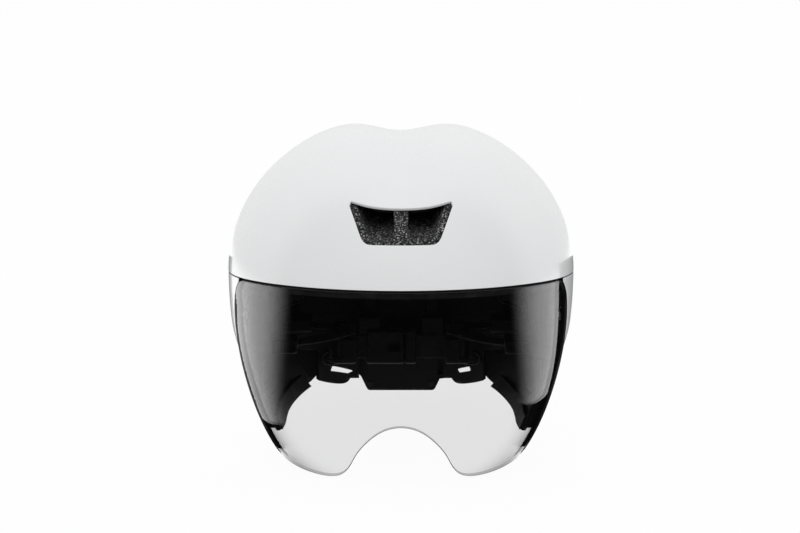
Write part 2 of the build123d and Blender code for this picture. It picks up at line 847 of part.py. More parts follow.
# Male half with two prongs
male_left_x = female_right_x + moving_gap
with BuildPart() as male:
    add(rounded_block(male_left_x, male_right_x, buckle_front, buckle_rear,
                      buckle_low, buckle_top, buckle_round))
    for z in (strap_z - prong_spread, strap_z + prong_spread):
        add(block(female_right_x - prong_long, male_left_x + buckle_round,
                  strap_y - prong_deep / 2, strap_y + prong_deep / 2,
                  z - prong_tall / 2, z + prong_tall / 2))
    add(block(left_start - touch_gap, male_right_x + buckle_round, strap_y0 - touch_gap,
              strap_y1 + touch_gap, strap_z - web_half - touch_gap,
              strap_z + web_half + touch_gap), mode=Mode.SUBTRACT)
save(male.part, "buckle_male")


# Retention cradle: plate, ears on two rails, cover, dial, belts
def plate_y(outline, y, wall, rounding=0):
    """A front view outline as a plate between y and y + wall."""
    with BuildPart() as plate:
        with BuildSketch(Plane.XZ.offset(-y)) as face:
            with BuildLine():
                Polyline(*outline, close=True)
            make_face()
            if rounding:
                fillet(face.vertices(), rounding)
        extrude(amount=-wall)
    return plate.part


def cylinder_y(radius, x, z, y0, y1):
    """A cylinder along Y."""
    with BuildPart() as rod:
        with BuildSketch(Plane.XZ.offset(-y0)):
            with Locations((x, z)):
                Circle(radius)
        extrude(amount=y0 - y1)
    return rod.part


rails = []
for side in (-1, 1):
    rails.append(block(side * ear_x - rail_half, side * ear_x + rail_half, rail_front_y,
                       rail_front_y + rail_deep, rail_low_z, rail_high_z))
cradle_outline = cradle_side_line + [(-x, z) for x, z in reversed(cradle_side_line)]
with BuildPart() as cradle:
    add(plate_y(cradle_outline, cradle_y, cradle_wall, cradle_round))
    for side in (-1, 1):
        ear = side * ear_x
        add(block(ear - ear_half, ear + ear_half, cradle_y, cradle_y + ear_deep,
                  ear_low_z, ear_top_z))
        gap = rail_half + moving_gap
        add(block(ear - gap, ear + gap, rail_front_y - moving_gap, rail_front_y + rail_deep,
                  ear_low_z - gap, ear_top_z + gap), mode=Mode.SUBTRACT)
    add(cylinder_y(shaft_radius + running_gap, 0, dial_z, cradle_y - cradle_wall,
                   cradle_y + 2 * cradle_wall), mode=Mode.SUBTRACT)
    add(cylinder_y(dial_radius + moving_gap, 0, dial_z, cradle_y + cradle_wall,
                   cradle_y + 2 * ear_deep), mode=Mode.SUBTRACT)

save(rails[0], "height_rail_right")
save(rails[1], "height_rail_left")

# Cover and screw places
screw_spots = []
for side in (-1, 1):
    x = side * (housing_half - housing_wall - screw_head_radius)
    half = (gear_module * gear_teeth / 2 + tooth_in_share * gear_module + rack_back
            + moving_gap + housing_wall + screw_shift)
    screw_spots += [(x, dial_z - half), (x, dial_z + half)]
cradle_plate = cradle.part
with BuildPart() as cradle_drilled:
    add(cradle_plate)
    for x, z in screw_spots:
        add(cylinder_y(screw_radius + touch_gap, x, z, 0, cradle_y + screw_bite + touch_gap),
            mode=Mode.SUBTRACT)
save(cradle_drilled.part, "cradle")

# Pinion with its shaft
pitch_radius = gear_module * gear_teeth / 2
tooth_pitch = pi * gear_module
tooth_half = tooth_thick_share * tooth_pitch / 2
tooth_out = tooth_out_share * gear_module
tooth_in = tooth_in_share * gear_module
slope = tan(radians(flank_angle))
root_half, tip_half = tooth_half + tooth_in * slope, tooth_half - tooth_out * slope
knob_front = cradle_y + cradle_wall + moving_gap
with BuildPart() as pinion:
    with BuildSketch(Plane.XZ.offset(-gear_front_y)):
        with Locations((0, dial_z)):
            Circle(pitch_radius - tooth_in)
            with PolarLocations(0, gear_teeth, start_angle=180 / gear_teeth):
                with Locations((pitch_radius, 0)):
                    Polygon((-tooth_in - tooth_half, root_half), (-tooth_in - tooth_half, -root_half),
                            (-tooth_in, -root_half), (tooth_out, -tip_half), (tooth_out, tip_half),
                            (-tooth_in, root_half), align=None)
    extrude(amount=-gear_thick)
    add(cylinder_y(shaft_radius, 0, dial_z, gear_front_y + gear_thick, knob_front + dial_thick / 2))
save(pinion.part, "pinion")

# Dial knob with flutes
with BuildPart() as dial_knob:
    with BuildSketch(Plane.XZ.offset(-knob_front)):
        with Locations((0, dial_z)):
            Circle(dial_radius)
            with PolarLocations(dial_radius, dial_flutes):
                Circle(flute_radius, mode=Mode.SUBTRACT)
    extrude(amount=-dial_thick)
    add(cylinder_y(shaft_radius + touch_gap, 0, dial_z, knob_front - dial_thick,
                   knob_front + dial_thick / 2 + touch_gap), mode=Mode.SUBTRACT)
save(dial_knob.part, "dial_knob")

# Cover over the pinion and racks, with its screws
cover_front = gear_front_y - cover_gap - cover_wall
rack_high = dial_z + pitch_radius + tooth_in + rack_back
rack_low = dial_z - pitch_radius - tooth_in - rack_back
cover_top, cover_low = rack_high + moving_gap, rack_low - moving_gap
rim_top, rim_low = cover_top + housing_wall, cover_low - housing_wall
lug_radius = screw_head_radius + touch_gap
with BuildPart() as dial_cover:
    add(block(-housing_half, housing_half, cover_front, cradle_y - touch_gap, rim_low, rim_top))
    for x, z in screw_spots:
        add(cylinder_y(lug_radius + screw_radius, x, z, cover_front, cradle_y - touch_gap))
    add(block(-far, far, cover_front + cover_wall, cradle_y, cover_low, cover_top),
        mode=Mode.SUBTRACT)
    for x, z in screw_spots:
        add(cylinder_y(screw_radius + touch_gap, x, z, 0, far), mode=Mode.SUBTRACT)
save(dial_cover.part, "dial_cover")

screws = []
for x, z in screw_spots:
    with BuildPart() as screw:
        add(cylinder_y(screw_head_radius, x, z, cover_front - touch_gap - screw_head_tall,
                       cover_front - touch_gap))
        add(cylinder_y(screw_radius, x, z, cover_front - touch_gap, cradle_y + screw_bite))
    screws.append(screw.part)
save(Compound(screws), "cover_screws")


# Belts: a rack inside the cover, then a band bent round the head
def rack(z, way):
    """A rack's bar and teeth; way is -1 for teeth that point down."""
    root = z + way * tooth_in
    with BuildPart() as bar:
        with BuildSketch(Plane.XZ.offset(-gear_front_y)):
            Polygon((-rack_reach, root), (belt_start_x, root),
                    (belt_start_x, root + way * rack_back), (-rack_reach, root + way * rack_back),
                    align=None)
            for n in range(-rack_teeth_before, rack_teeth_after + 1):
                with Locations((n * tooth_pitch, z)):
                    Polygon((-root_half, way * (tooth_in + tooth_half)), (-root_half, way * tooth_in),
                            (-tip_half, -way * tooth_out), (tip_half, -way * tooth_out),
                            (root_half, way * tooth_in), (root_half, way * (tooth_in + tooth_half)),
                            align=None)
        extrude(amount=-gear_thick)
    return bar.part


belt_y = gear_front_y + gear_thick / 2
bend_x, bend_y = belt_start_x + belt_lap, belt_y - belt_bend


def belt_band():
    """The band: a straight start, then an arc round the head, seen from above."""
    outer, inner = belt_bend + belt_thick / 2, belt_bend - belt_thick / 2
    with BuildPart() as band_part:
        with BuildSketch(Plane.XY):
            with BuildLine():
                CenterArc((bend_x, bend_y), outer, belt_end_angle, 90 - belt_end_angle)
                CenterArc((bend_x, bend_y), inner, belt_end_angle, 90 - belt_end_angle)
                Line((bend_x, bend_y + outer), (belt_start_x - touch_gap, bend_y + outer))
                Line((bend_x, bend_y + inner), (belt_start_x - touch_gap, bend_y + inner))
                Line((belt_start_x - touch_gap, bend_y + outer),
                     (belt_start_x - touch_gap, bend_y + inner))
                end = radians(belt_end_angle)
                Line((bend_x + outer * cos(end), bend_y + outer * sin(end)),
                     (bend_x + inner * cos(end), bend_y + inner * sin(end)))
            make_face()
        extrude(amount=rack_high)
    return band_part.part


def belt_side(window):
    """The front view shape of a band: a hanging lower edge, and a window."""
    with BuildPart() as side:
        with BuildSketch(Plane.XZ) as shape:
            with BuildLine():
                edge = Spline(*belt_low_line)
                Polyline(edge @ 1, (edge @ 1 + (0, rack_high)), (0, rack_high),
                         (0, belt_low_line[0][1]), edge @ 0)
            make_face()
        extrude(amount=-far)
    with BuildPart() as shaped:
        add(side.part)
        add(plate_y(window, 0, far, belt_window_round), mode=Mode.SUBTRACT)
    return shaped.part


band_solid = belt_band()
band_left = band_solid & belt_side(belt_window_left)
band_right = mirrored(band_solid & belt_side(belt_window_right))
with BuildPart() as belt_left:
    add(rack(dial_z - pitch_radius, -1))
    add(band_left)
save(belt_left.part, "belt_left")
with BuildPart() as belt_right:
    add(mirrored(rack(dial_z + pitch_radius, 1)))
    add(band_right)
save(belt_right.part, "belt_right")


# Belt pads, on the bands' inner sides
def belt_pad():
    """A cushion that follows the band."""
    inner = belt_bend - belt_thick / 2 - belt_pad_gap
    angle = radians(belt_pad_angle)
    shape = Pos(bend_x + inner * cos(angle), bend_y + inner * sin(angle), belt_pad_z) * (
        Rot(0, 0, belt_pad_angle) * cushion((0, 0, 0), belt_pad_half))
    with BuildPart() as pad:
        add(shape)
        with BuildSketch(Plane.XY):
            with Locations((bend_x, bend_y)):
                Circle(inner)
        extrude(amount=far, mode=Mode.INTERSECT)
    return pad.part


pad_solid = belt_pad()
save(pad_solid, "belt_pad_left")
save(mirrored(pad_solid), "belt_pad_right")
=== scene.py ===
# %% [markdown]
# # Aero time trial helmet
#
# A glossy white shell over dark beaded foam, a large lens that magnets hold on, and pads, straps
# and a dial fit inside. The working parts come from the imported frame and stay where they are.
# What is seen from outside is modelled here as fine meshes round them, in metres.
# +X is the wearer's left, -Y is the face, +Z is up, and the table is at zero.

# %% Load the frame
import json
import math

import bmesh
import bpy
import numpy as np
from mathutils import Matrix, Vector


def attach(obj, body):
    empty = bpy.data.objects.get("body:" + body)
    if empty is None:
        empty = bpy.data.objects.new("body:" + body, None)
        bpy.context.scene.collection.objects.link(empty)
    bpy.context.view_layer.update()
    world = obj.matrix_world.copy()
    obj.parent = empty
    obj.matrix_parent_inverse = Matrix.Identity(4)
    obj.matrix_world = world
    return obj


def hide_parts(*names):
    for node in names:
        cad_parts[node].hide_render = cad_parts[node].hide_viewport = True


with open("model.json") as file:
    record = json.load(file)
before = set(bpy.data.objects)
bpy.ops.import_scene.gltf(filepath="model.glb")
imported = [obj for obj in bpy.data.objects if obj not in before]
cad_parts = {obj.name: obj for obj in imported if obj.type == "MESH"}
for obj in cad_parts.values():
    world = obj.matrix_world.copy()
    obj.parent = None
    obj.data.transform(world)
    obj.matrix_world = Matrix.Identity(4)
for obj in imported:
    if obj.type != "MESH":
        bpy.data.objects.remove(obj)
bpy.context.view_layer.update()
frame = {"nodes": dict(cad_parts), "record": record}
nodes = frame["nodes"]
scene = bpy.context.scene

# %% [markdown]
# ## Camera
#
# The photograph looks at the helmet from in front and a little above, through a long lens.
# A long lens from far away keeps the sides nearly parallel, which is why the shell's width and
# height can be compared with the picture directly. The camera is aimed by its own axes.

# %% Camera
photo_wide = 800
sensor = 0.036
focal_pixels = 2833.3
aim = Vector((0.0, -0.012, 0.1048))
camera_distance = 1.70
camera_lift = math.radians(10.0)
middle_offset_pixels = 1.0

camera_data = bpy.data.cameras.new("photo_camera")
camera_data.sensor_width = sensor * 1000
camera_data.lens = focal_pixels / photo_wide * camera_data.sensor_width
camera_data.shift_x = -middle_offset_pixels / photo_wide
camera = bpy.data.objects.new("photo_camera", camera_data)
scene.collection.objects.link(camera)
away = Vector((0.0, -math.cos(camera_lift), math.sin(camera_lift)))
camera.location = aim + away * camera_distance
camera.rotation_euler = (math.pi / 2 - camera_lift, 0.0, 0.0)
scene.camera = camera
scene.view_settings.view_transform = "Standard"
print("lens", round(camera_data.lens, 1), "mm at", [round(v, 3) for v in camera.location])

# %% [markdown]
# ## Node helpers
#
# Every finish below is a small node graph. One helper adds a node, sets its plain values and
# links its inputs, so that each material reads as a list of what it is made of.


# %% Node helpers
def add_node(tree, kind, inputs=None, **settings):
    """Adds a node, sets its settings, and sets or links its inputs by name or number."""
    node = tree.nodes.new(kind)
    for name, value in settings.items():
        setattr(node, name, value)
    for key, value in (inputs or {}).items():
        if isinstance(value, bpy.types.NodeSocket):
            tree.links.new(value, node.inputs[key])
        else:
            node.inputs[key].default_value = value
    return node


def maths(tree, operation, *values):
    """A Math node's result."""
    return add_node(tree, "ShaderNodeMath", dict(enumerate(values)), operation=operation).outputs[0]


def ramp(tree, value, low, high, out_low=0.0, out_high=1.0):
    """A smooth step of a value from one range to another."""
    node = add_node(tree, "ShaderNodeMapRange", {"Value": value, "From Min": low, "From Max": high,
                                                 "To Min": out_low, "To Max": out_high},
                    interpolation_type="SMOOTHSTEP")
    return node.outputs["Result"]


def mixed(tree, share, first, second):
    """A colour between two, by a share."""
    node = add_node(tree, "ShaderNodeMix", {0: share, 6: first, 7: second}, data_type="RGBA")
    return node.outputs[2]


def grey(level, tint=0.0):
    """A grey, a little blue with a tint above zero."""
    return (level, level, level * (1 + tint), 1.0)


# %% [markdown]
# ## Placing and carrying pieces
#
# A fine piece stands for one or more of the frame's nodes, takes its finish from the record's
# slot, and rides the same body, so that it moves with the real joint. Its finish is put on last.

# %% Placing and carrying pieces
dressed = []


def placed(name, data):
    """A new object in the scene."""
    piece = bpy.data.objects.new(name, data)
    scene.collection.objects.link(piece)
    return piece


def smooth_piece(name, points, faces):
    """A smoothly shaded object made of points and faces."""
    mesh = bpy.data.meshes.new(name)
    mesh.from_pydata(points, [], faces)
    mesh.shade_smooth()
    return placed(name, mesh)


def carried(piece, slot_name, body, *stands_for):
    """A piece that takes a slot's finish, rides a body, and may stand for some nodes."""
    if stands_for:
        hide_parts(*stands_for)
    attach(piece, body)
    dressed.append((piece, slot_name))
    return piece


# %% [markdown]
# ## Studio
#
# The helmet stands on a white sweep. White round the sides and behind, and a dark room behind
# the camera, are what make a dark lens read: its middle stays black and its sides turn bright.
# The world gives the camera plain white, and holds that dark front half only for reflections.
# Painting the room as a world is quicker than building walls, and leaves no edges in the gloss.

# %% World
front_dark_y, back_bright_y = -0.03, 0.40
dark_room, gloss_far = 0.012, 0.85
sky_level, sky_top = 0.86, 0.88
sky_low_z, sky_high_z = -0.4, 0.9


def studio_world():
    """White for the camera, a sweep that is dark in front for gloss, and soft light for the rest."""
    world = bpy.data.worlds.new("studio")
    world.use_nodes = True
    scene.world = world
    tree = world.node_tree
    tree.nodes.clear()
    path = add_node(tree, "ShaderNodeLightPath")
    where = add_node(tree, "ShaderNodeTexCoord").outputs["Generated"]
    direction = add_node(tree, "ShaderNodeSeparateXYZ", {0: where})
    behind = ramp(tree, direction.outputs["Y"], front_dark_y, back_bright_y, dark_room, gloss_far)
    light = ramp(tree, direction.outputs["Z"], sky_low_z, sky_high_z, sky_level, sky_top)
    shiny = maths(tree, "MAXIMUM", path.outputs["Is Glossy Ray"], path.outputs["Is Transmission Ray"])
    other = mixed(tree, shiny, light, behind)
    colour = mixed(tree, path.outputs["Is Camera Ray"], other, grey(1.0))
    sky = add_node(tree, "ShaderNodeBackground", {"Color": colour, "Strength": 1.0})
    add_node(tree, "ShaderNodeOutputWorld", {0: sky.outputs[0]})


studio_world()
print("world ready, dark in front of", front_dark_y)

# %% [markdown]
# ## Floor
#
# A table under a lens shows in it more than anything else does. The floor is a plain diffuse
# white for light, nearly pure white for the camera so that the helmet still drops a faint
# shadow on it, and for reflections it continues the room: dark in front, bright behind.

# %% Floor
floor_half = 6.0
floor_white, white_share = 0.82, 0.96
gloss_near = 1.6
near_reach, far_reach = 0.7, 1.6
lens_middle = (0.0, -0.10, 0.0)


def empty_material(name):
    """A new material, and its node tree with nothing in it yet."""
    material = bpy.data.materials.new(name)
    material.use_nodes = True
    material.node_tree.nodes.clear()
    return material, material.node_tree


def floor_material():
    """A white floor: plain for light, white with a faint shadow for the camera."""
    material, tree = empty_material("sweep_white")
    path = add_node(tree, "ShaderNodeLightPath")
    where = add_node(tree, "ShaderNodeNewGeometry").outputs["Position"]
    arm = add_node(tree, "ShaderNodeVectorMath", {0: where, 1: lens_middle}, operation="SUBTRACT")
    way = add_node(tree, "ShaderNodeVectorMath", {0: arm.outputs[0]}, operation="NORMALIZE")
    reach = add_node(tree, "ShaderNodeVectorMath", {0: arm.outputs[0]}, operation="LENGTH")
    level = ramp(tree, reach.outputs["Value"], near_reach, far_reach, gloss_near, gloss_far)
    behind = ramp(tree, add_node(tree, "ShaderNodeSeparateXYZ", {0: way.outputs[0]}).outputs["Y"],
                  front_dark_y, back_bright_y)
    back = maths(tree, "MAXIMUM", maths(tree, "MULTIPLY", behind, level), dark_room)
    plain = add_node(tree, "ShaderNodeBsdfDiffuse", {"Color": grey(floor_white)})
    white = add_node(tree, "ShaderNodeEmission", {"Color": grey(1.0), "Strength": 1.0})
    mirror = add_node(tree, "ShaderNodeEmission", {"Color": back, "Strength": 1.0})
    seen = maths(tree, "MULTIPLY", path.outputs["Is Camera Ray"], white_share)
    first = add_node(tree, "ShaderNodeMixShader", {0: seen, 1: plain.outputs[0], 2: white.outputs[0]})
    shiny = maths(tree, "MAXIMUM", path.outputs["Is Glossy Ray"], path.outputs["Is Transmission Ray"])
    last = add_node(tree, "ShaderNodeMixShader", {0: shiny, 1: first.outputs[0], 2: mirror.outputs[0]})
    add_node(tree, "ShaderNodeOutputMaterial", {0: last.outputs[0]})
    return material


floor_mesh = bpy.data.meshes.new("floor")
floor_mesh.from_pydata([(-floor_half, -floor_half, 0), (floor_half, -floor_half, 0),
                        (floor_half, floor_half, 0), (-floor_half, floor_half, 0)], [], [(0, 1, 2, 3)])
floor = placed("floor", floor_mesh)
floor.data.materials.append(floor_material())
print("floor", 2 * floor_half, "m wide")

# %% [markdown]
# ## Lamps
#
# The world does most of the lighting. Two large soft lamps only give it a direction, one above
# and in front, one high behind, so that the crest ridges and the tail show their form. They are
# left out of reflections, where a square lamp would show as a patch on the lens.

# %% Lamps
lamp_size = 1.2
top_lamp_place, top_lamp_power = (0.0, -0.6, 1.9), 2.6
back_lamp_place, back_lamp_power = (0.0, 1.3, 1.5), 3.0


def lamp(name, place, power):
    """A square soft lamp that shines at the helmet."""
    data = bpy.data.lights.new(name, "AREA")
    data.shape, data.size, data.energy = "SQUARE", lamp_size, power
    light = placed(name, data)
    light.location = place
    light.rotation_euler = (aim - Vector(place)).to_track_quat("-Z", "Y").to_euler()
    light.visible_glossy = False
    light.visible_camera = False


lamp("top_lamp", top_lamp_place, top_lamp_power)
lamp("back_lamp", back_lamp_place, back_lamp_power)
print("lamps", top_lamp_power, "W and", back_lamp_power, "W")

# %% [markdown]
# ## Cards beside the lens
#
# Clear curved plastic before a white sweep loses its outline. A photographer stands a black card
# close beside it, just out of the picture, and the lens mirrors the card as a dark band along
# its edge. One card stands on each side and runs on along the floor. The wearer's left one
# reaches further out, so its band is the wider one, as in the photograph.

# %% Cards beside the lens
card_tall, card_y, card_lift = 0.110, 0.0, 0.001
card_front_y, card_rear_y = -0.105, 0.11
card_black = 0.01


def flag(name, near_x, far_x, floor_far_x):
    """A black card, upright and along the floor, that only reflections see."""
    mesh = bpy.data.meshes.new(name)
    mesh.from_pydata([(near_x, card_y, 0.0), (far_x, card_y, 0.0),
                      (far_x, card_y, card_tall), (near_x, card_y, card_tall),
                      (near_x, card_front_y, card_lift), (floor_far_x, card_front_y, card_lift),
                      (floor_far_x, card_rear_y, card_lift), (near_x, card_rear_y, card_lift)],
                     [], [(0, 1, 2, 3), (4, 5, 6, 7)])
    card = placed(name, mesh)
    material, tree = empty_material(name)
    black = add_node(tree, "ShaderNodeEmission", {"Color": grey(card_black), "Strength": 1.0})
    add_node(tree, "ShaderNodeOutputMaterial", {0: black.outputs[0]})
    card.data.materials.append(material)
    card.visible_camera = card.visible_diffuse = card.visible_shadow = False
    card.visible_transmission = card.visible_volume_scatter = False


left_card_x, left_card_far_x, left_card_floor_x = 0.082, 0.155, 0.166
right_card_x, right_card_far_x = -0.080, -0.118
flag("flag_left", left_card_x, left_card_far_x, left_card_floor_x)
flag("flag_right", right_card_x, right_card_far_x, right_card_far_x)
print("cards from", left_card_x, "and", right_card_x)

# %% [markdown]
# ## Outer form
#
# Shell, side covers and lens share one egg shaped form, so it is a formula: half lengths in six
# directions, then a few bends. Low levels move forward, the tail tapers, and two rounded ridges
# rise beside a dip along the crown. A formula gives an exact point and an exact normal at any
# place, which a modelled mesh can't, so the pieces that meet at a seam really lie on one surface.

# %% Outer form
side_half, front_half, back_half = 0.1032, 0.133, 0.170
upper_half, lower_half = 0.0898, 0.137
centre_y, centre_z, floor_z = -0.012, 0.105, -0.008
low_shift_y, low_front_share, low_back_share = -0.060, 0.435, 0.25
tail_taper_share, rear_fill_share, least_level_share = 0.16, 0.5, 0.05
crest_depth, crest_spread, crest_start_share, crest_run_share = 0.0099, 0.0171, 0.25, 0.5
narrow_top_z, narrow_run_z, narrow_share = 0.078, 0.055, 0.085


def rise(share):
    """A smooth step from 0 to 1."""
    share = np.clip(share, 0, 1)
    return share * share * (3 - 2 * share)


def form_points(grid, inset, narrow):
    """Points on the outer form for an (n, 2) grid of places from -1 to 1 across it."""
    a, b = grid[:, 0], grid[:, 1]
    u, v = a * np.sqrt(1 - b * b / 2), b * np.sqrt(1 - a * a / 2)
    turn, share = np.arctan2(v, u), np.minimum(np.hypot(u, v), 1)
    side, up, down = side_half - inset, upper_half - inset, lower_half - inset
    long = np.where(np.sin(turn) < 0, front_half, back_half) - inset
    level = np.hypot(np.cos(turn) / side, np.sin(turn) / long)
    depth = centre_z - floor_z
    lean = share * np.arctan2(np.sqrt(1 - (depth / down) ** 2) / level, -depth)
    tall = np.where(np.cos(lean) > 0, up, down)
    out = 1 / np.hypot(np.sin(lean) * level, np.cos(lean) / tall)
    x, y = out * np.sin(lean) * np.cos(turn), out * np.sin(lean) * np.sin(turn)
    z = centre_z + out * np.cos(lean)
    low = rise((centre_z - z) / centre_z)
    stretch = np.where(y < 0, 1 - low_front_share * low, 1 + low_back_share * low)
    back = np.maximum(y / back_half, 0)
    drop = np.maximum(centre_z - z, 0)
    level_left = np.sqrt(np.maximum(1 - (drop / lower_half) ** 2, least_level_share))
    x = x * (1 - tail_taper_share * back * back)
    x = x * (1 + rear_fill_share * rise(drop / centre_z) * np.minimum(back / level_left, 1) ** 2)
    if narrow:
        x = x * (1 - narrow_share * rise((narrow_top_z - z) / narrow_run_z))
    dip = crest_depth * rise(((z - centre_z) / upper_half - crest_start_share) / crest_run_share)
    z = z - dip * np.exp(-((x / crest_spread) ** 2) / 2)
    return np.stack([x, centre_y + low_shift_y * low + y * stretch, z], axis=1)


crown_point = form_points(np.zeros((1, 2)), 0, False)[0]
print("crown at", [round(float(v), 4) for v in crown_point])

# %% [markdown]
# ## Normals of the form
#
# A wall's inner side lies straight behind its outer one, so each point needs the way out of the
# form there. It is the cross product of two short steps along the form.


# %% Normals of the form
def form_normals(grid, inset, narrow, step=1e-4):
    """The form's outward normals at the same places."""
    grid = np.clip(grid, -1 + step, 1 - step)
    across, along = np.array([step, 0]), np.array([0, step])
    du = form_points(grid + across, inset, narrow) - form_points(grid - across, inset, narrow)
    dv = form_points(grid + along, inset, narrow) - form_points(grid - along, inset, narrow)
    normals = np.cross(du, dv)
    return normals / np.linalg.norm(normals, axis=1, keepdims=True)


crown_normal = form_normals(np.zeros((1, 2)), 0, False)[0]
print("way out at the crown", [round(abs(float(v)), 3) for v in crown_normal])

# %% [markdown]
# ## Cutting a sheet to an outline
#
# A real shell is trimmed from a moulded blank, and so is this one: a fine grid on the form is
# cut along outlines drawn in the side or front view. A boolean would leave long thin triangles
# that show in a gloss. Here each cut moves the grid's nearest points onto the line instead,
# found by halving along the form, so the edge is smooth and the faces stay even.


# %% Curves through points
def smooth_line(points, chords=18):
    """A curve through points, as short chords."""
    points = np.array(points, float)
    knots = np.concatenate([[0], np.cumsum(np.hypot(*np.diff(points, axis=0).T))])
    count = len(points)
    system, right = np.eye(count), np.zeros((count, 2))
    for i in range(1, count - 1):
        before, after = knots[i] - knots[i - 1], knots[i + 1] - knots[i]
        system[i, i - 1:i + 2] = before, 2 * (before + after), after
        right[i] = 6 * ((points[i + 1] - points[i]) / after - (points[i] - points[i - 1]) / before)
    bends = np.linalg.solve(system, right)
    line = [points[0]]
    for i in range(count - 1):
        span = knots[i + 1] - knots[i]
        for n in range(1, chords + 1):
            t = n / chords
            s = 1 - t
            line.append(s * points[i] + t * points[i + 1]
                        + ((s ** 3 - s) * bends[i] + (t ** 3 - t) * bends[i + 1]) * span ** 2 / 6)
    return np.array(line)


print("a curve through 3 points has", len(smooth_line([(0, 0), (1, 1), (2, 0)])), "points")

# %% [markdown]
# ## Rounded corners
#
# Moulded openings have no sharp corners, since a tool cuts them with a round cutter and a sharp
# corner would start a crack. Each corner with a radius becomes an arc that touches both sides.


# %% Rounded corners
def rounded(points, radii, chords=8):
    """A closed outline with some corners rounded."""
    points = np.array(points, float)
    outline = []
    for i, radius in enumerate(radii):
        here, before, after = points[i], points[i - 1], points[(i + 1) % len(points)]
        if not radius:
            outline.append(here)
            continue
        one = (before - here) / np.linalg.norm(before - here)
        two = (after - here) / np.linalg.norm(after - here)
        half = math.acos(np.clip(one @ two, -1, 1)) / 2
        middle = here + (one + two) / np.linalg.norm(one + two) * radius / math.sin(half)
        start = here + one * radius / math.tan(half) - middle
        end = here + two * radius / math.tan(half) - middle
        for n in range(chords + 1):
            arm = start * (1 - n / chords) + end * n / chords
            outline.append(middle + arm / np.linalg.norm(arm) * radius)
    return np.array(outline)


unit_square = np.array([(0.0, 0.0), (1.0, 0.0), (1.0, 1.0), (0.0, 1.0)])
print("a square with four round corners has", len(rounded(unit_square, [0.1] * 4)), "points")

# %% [markdown]
# ## Depth inside an outline
#
# A cut needs one number at each point: how far inside the outline it is. The distance to the
# nearest edge gives its size, and counting the edges that a level line crosses gives its sign.


# %% Depth inside an outline
def depth_inside(spots, outline):
    """How far flat spots lie inside a closed outline, below zero outside."""
    gap, inside = np.full(len(spots), np.inf), np.zeros(len(spots), bool)
    for start, end in zip(outline, np.roll(outline, -1, axis=0)):
        along = end - start
        if along @ along == 0:
            continue
        rel = spots - start
        share = np.clip(rel @ along / (along @ along), 0, 1)
        gap = np.minimum(gap, np.hypot(*(rel - share[:, None] * along).T))
        crosses = (start[1] > spots[:, 1]) != (end[1] > spots[:, 1])
        if along[1]:
            left = spots[:, 0] < start[0] + (spots[:, 1] - start[1]) * along[0] / along[1]
            inside ^= crosses & left
    return np.where(inside, gap, -gap)


def side_view(outline):
    """A cut by an outline of (y, z) points."""
    return lambda points: depth_inside(points[:, 1:3], np.array(outline))


def front_view(outline):
    """A cut by an outline of (x, z) points."""
    return lambda points: depth_inside(points[:, [0, 2]], np.array(outline))


print("depth at a square's middle", depth_inside(np.array([[0.5, 0.5]]), unit_square)[0])

# %% [markdown]
# ## A grid on the form
#
# A sheet holds places on the form as two numbers from -1 to 1, and its faces. Points in space
# are worked out from the places only when they are needed, so a cut can move a place and the
# point still lies exactly on the form.


# %% A grid on the form
class Sheet:
    """A grid on the form that can be cut, then given a wall."""

    def __init__(self, inset, narrow, steps):
        self.inset, self.narrow = inset, narrow
        shares = np.linspace(-1, 1, steps + 1)
        self.grid = np.array([(u, v) for u in shares for v in shares])
        row = steps + 1
        self.faces = [(i * row + j, (i + 1) * row + j, (i + 1) * row + j + 1, i * row + j + 1)
                      for i in range(steps) for j in range(steps)]

    def points(self, grid=None):
        """Points on the form, at the sheet's own places or at others."""
        return form_points(self.grid if grid is None else grid, self.inset, self.narrow)


# %% [markdown]
# ## Cutting the grid
#
# A cut keeps the faces that lie inside. On each grid line that crosses the outline, the crossing
# is found by halving, sixteen times, so it is exact to far less than a micrometre. A grid point
# that is already near its crossing moves onto it, because a sliver beside it would show in gloss.

# %% Cutting the grid
snap_share, halvings = 0.3, 16


def cut(sheet, inside):
    """Keeps what lies inside, where inside gives a distance that is above zero."""
    value = inside(sheet.points())
    value[np.abs(value) < 1e-9] = 0
    faces = [f for f in sheet.faces if any(value[i] > 0 for i in f)]
    crossing = set()
    for f in faces:
        for i, j in zip(f, f[1:] + f[:1]):
            if value[i] * value[j] < 0:
                crossing.add((i, j) if value[i] > 0 else (j, i))
    crossing = sorted(crossing)
    if crossing:
        keep, lose = (np.array(side) for side in zip(*crossing))
        low, high = np.zeros(len(crossing)), np.ones(len(crossing))
        for _ in range(halvings):
            t = (low + high) / 2
            spot = sheet.grid[keep] + (sheet.grid[lose] - sheet.grid[keep]) * t[:, None]
            good = inside(sheet.points(spot)) > 0
            low, high = np.where(good, t, low), np.where(good, high, t)
        spot = sheet.grid[keep] + (sheet.grid[lose] - sheet.grid[keep]) * low[:, None]
        snapped = {}
        for n, (i, j) in enumerate(crossing):
            for vertex, gap in ((i, low[n]), (j, 1 - low[n])):
                if gap < snap_share and gap < snapped.get(vertex, (1, 0))[0]:
                    snapped[vertex] = (gap, n)
        for vertex, (_, n) in snapped.items():
            sheet.grid[vertex] = spot[n]
            value[vertex] = 0
    made, extra = {}, []
    for n, pair in enumerate(crossing):
        if value[pair[0]] and value[pair[1]]:
            made[pair] = len(sheet.grid) + len(extra)
            extra.append(spot[n])
    kept = []
    for f in faces:
        if not any(value[i] > 0 for i in f):
            continue
        ring = []
        for i, j in zip(f, f[1:] + f[:1]):
            if value[i] >= 0:
                ring.append(i)
            if value[i] * value[j] < 0:
                ring.append(made[(i, j) if value[i] > 0 else (j, i)])
        if len(ring) > 2:
            kept.append(tuple(ring))
    if extra:
        sheet.grid = np.vstack([sheet.grid, extra])
    sheet.faces = kept


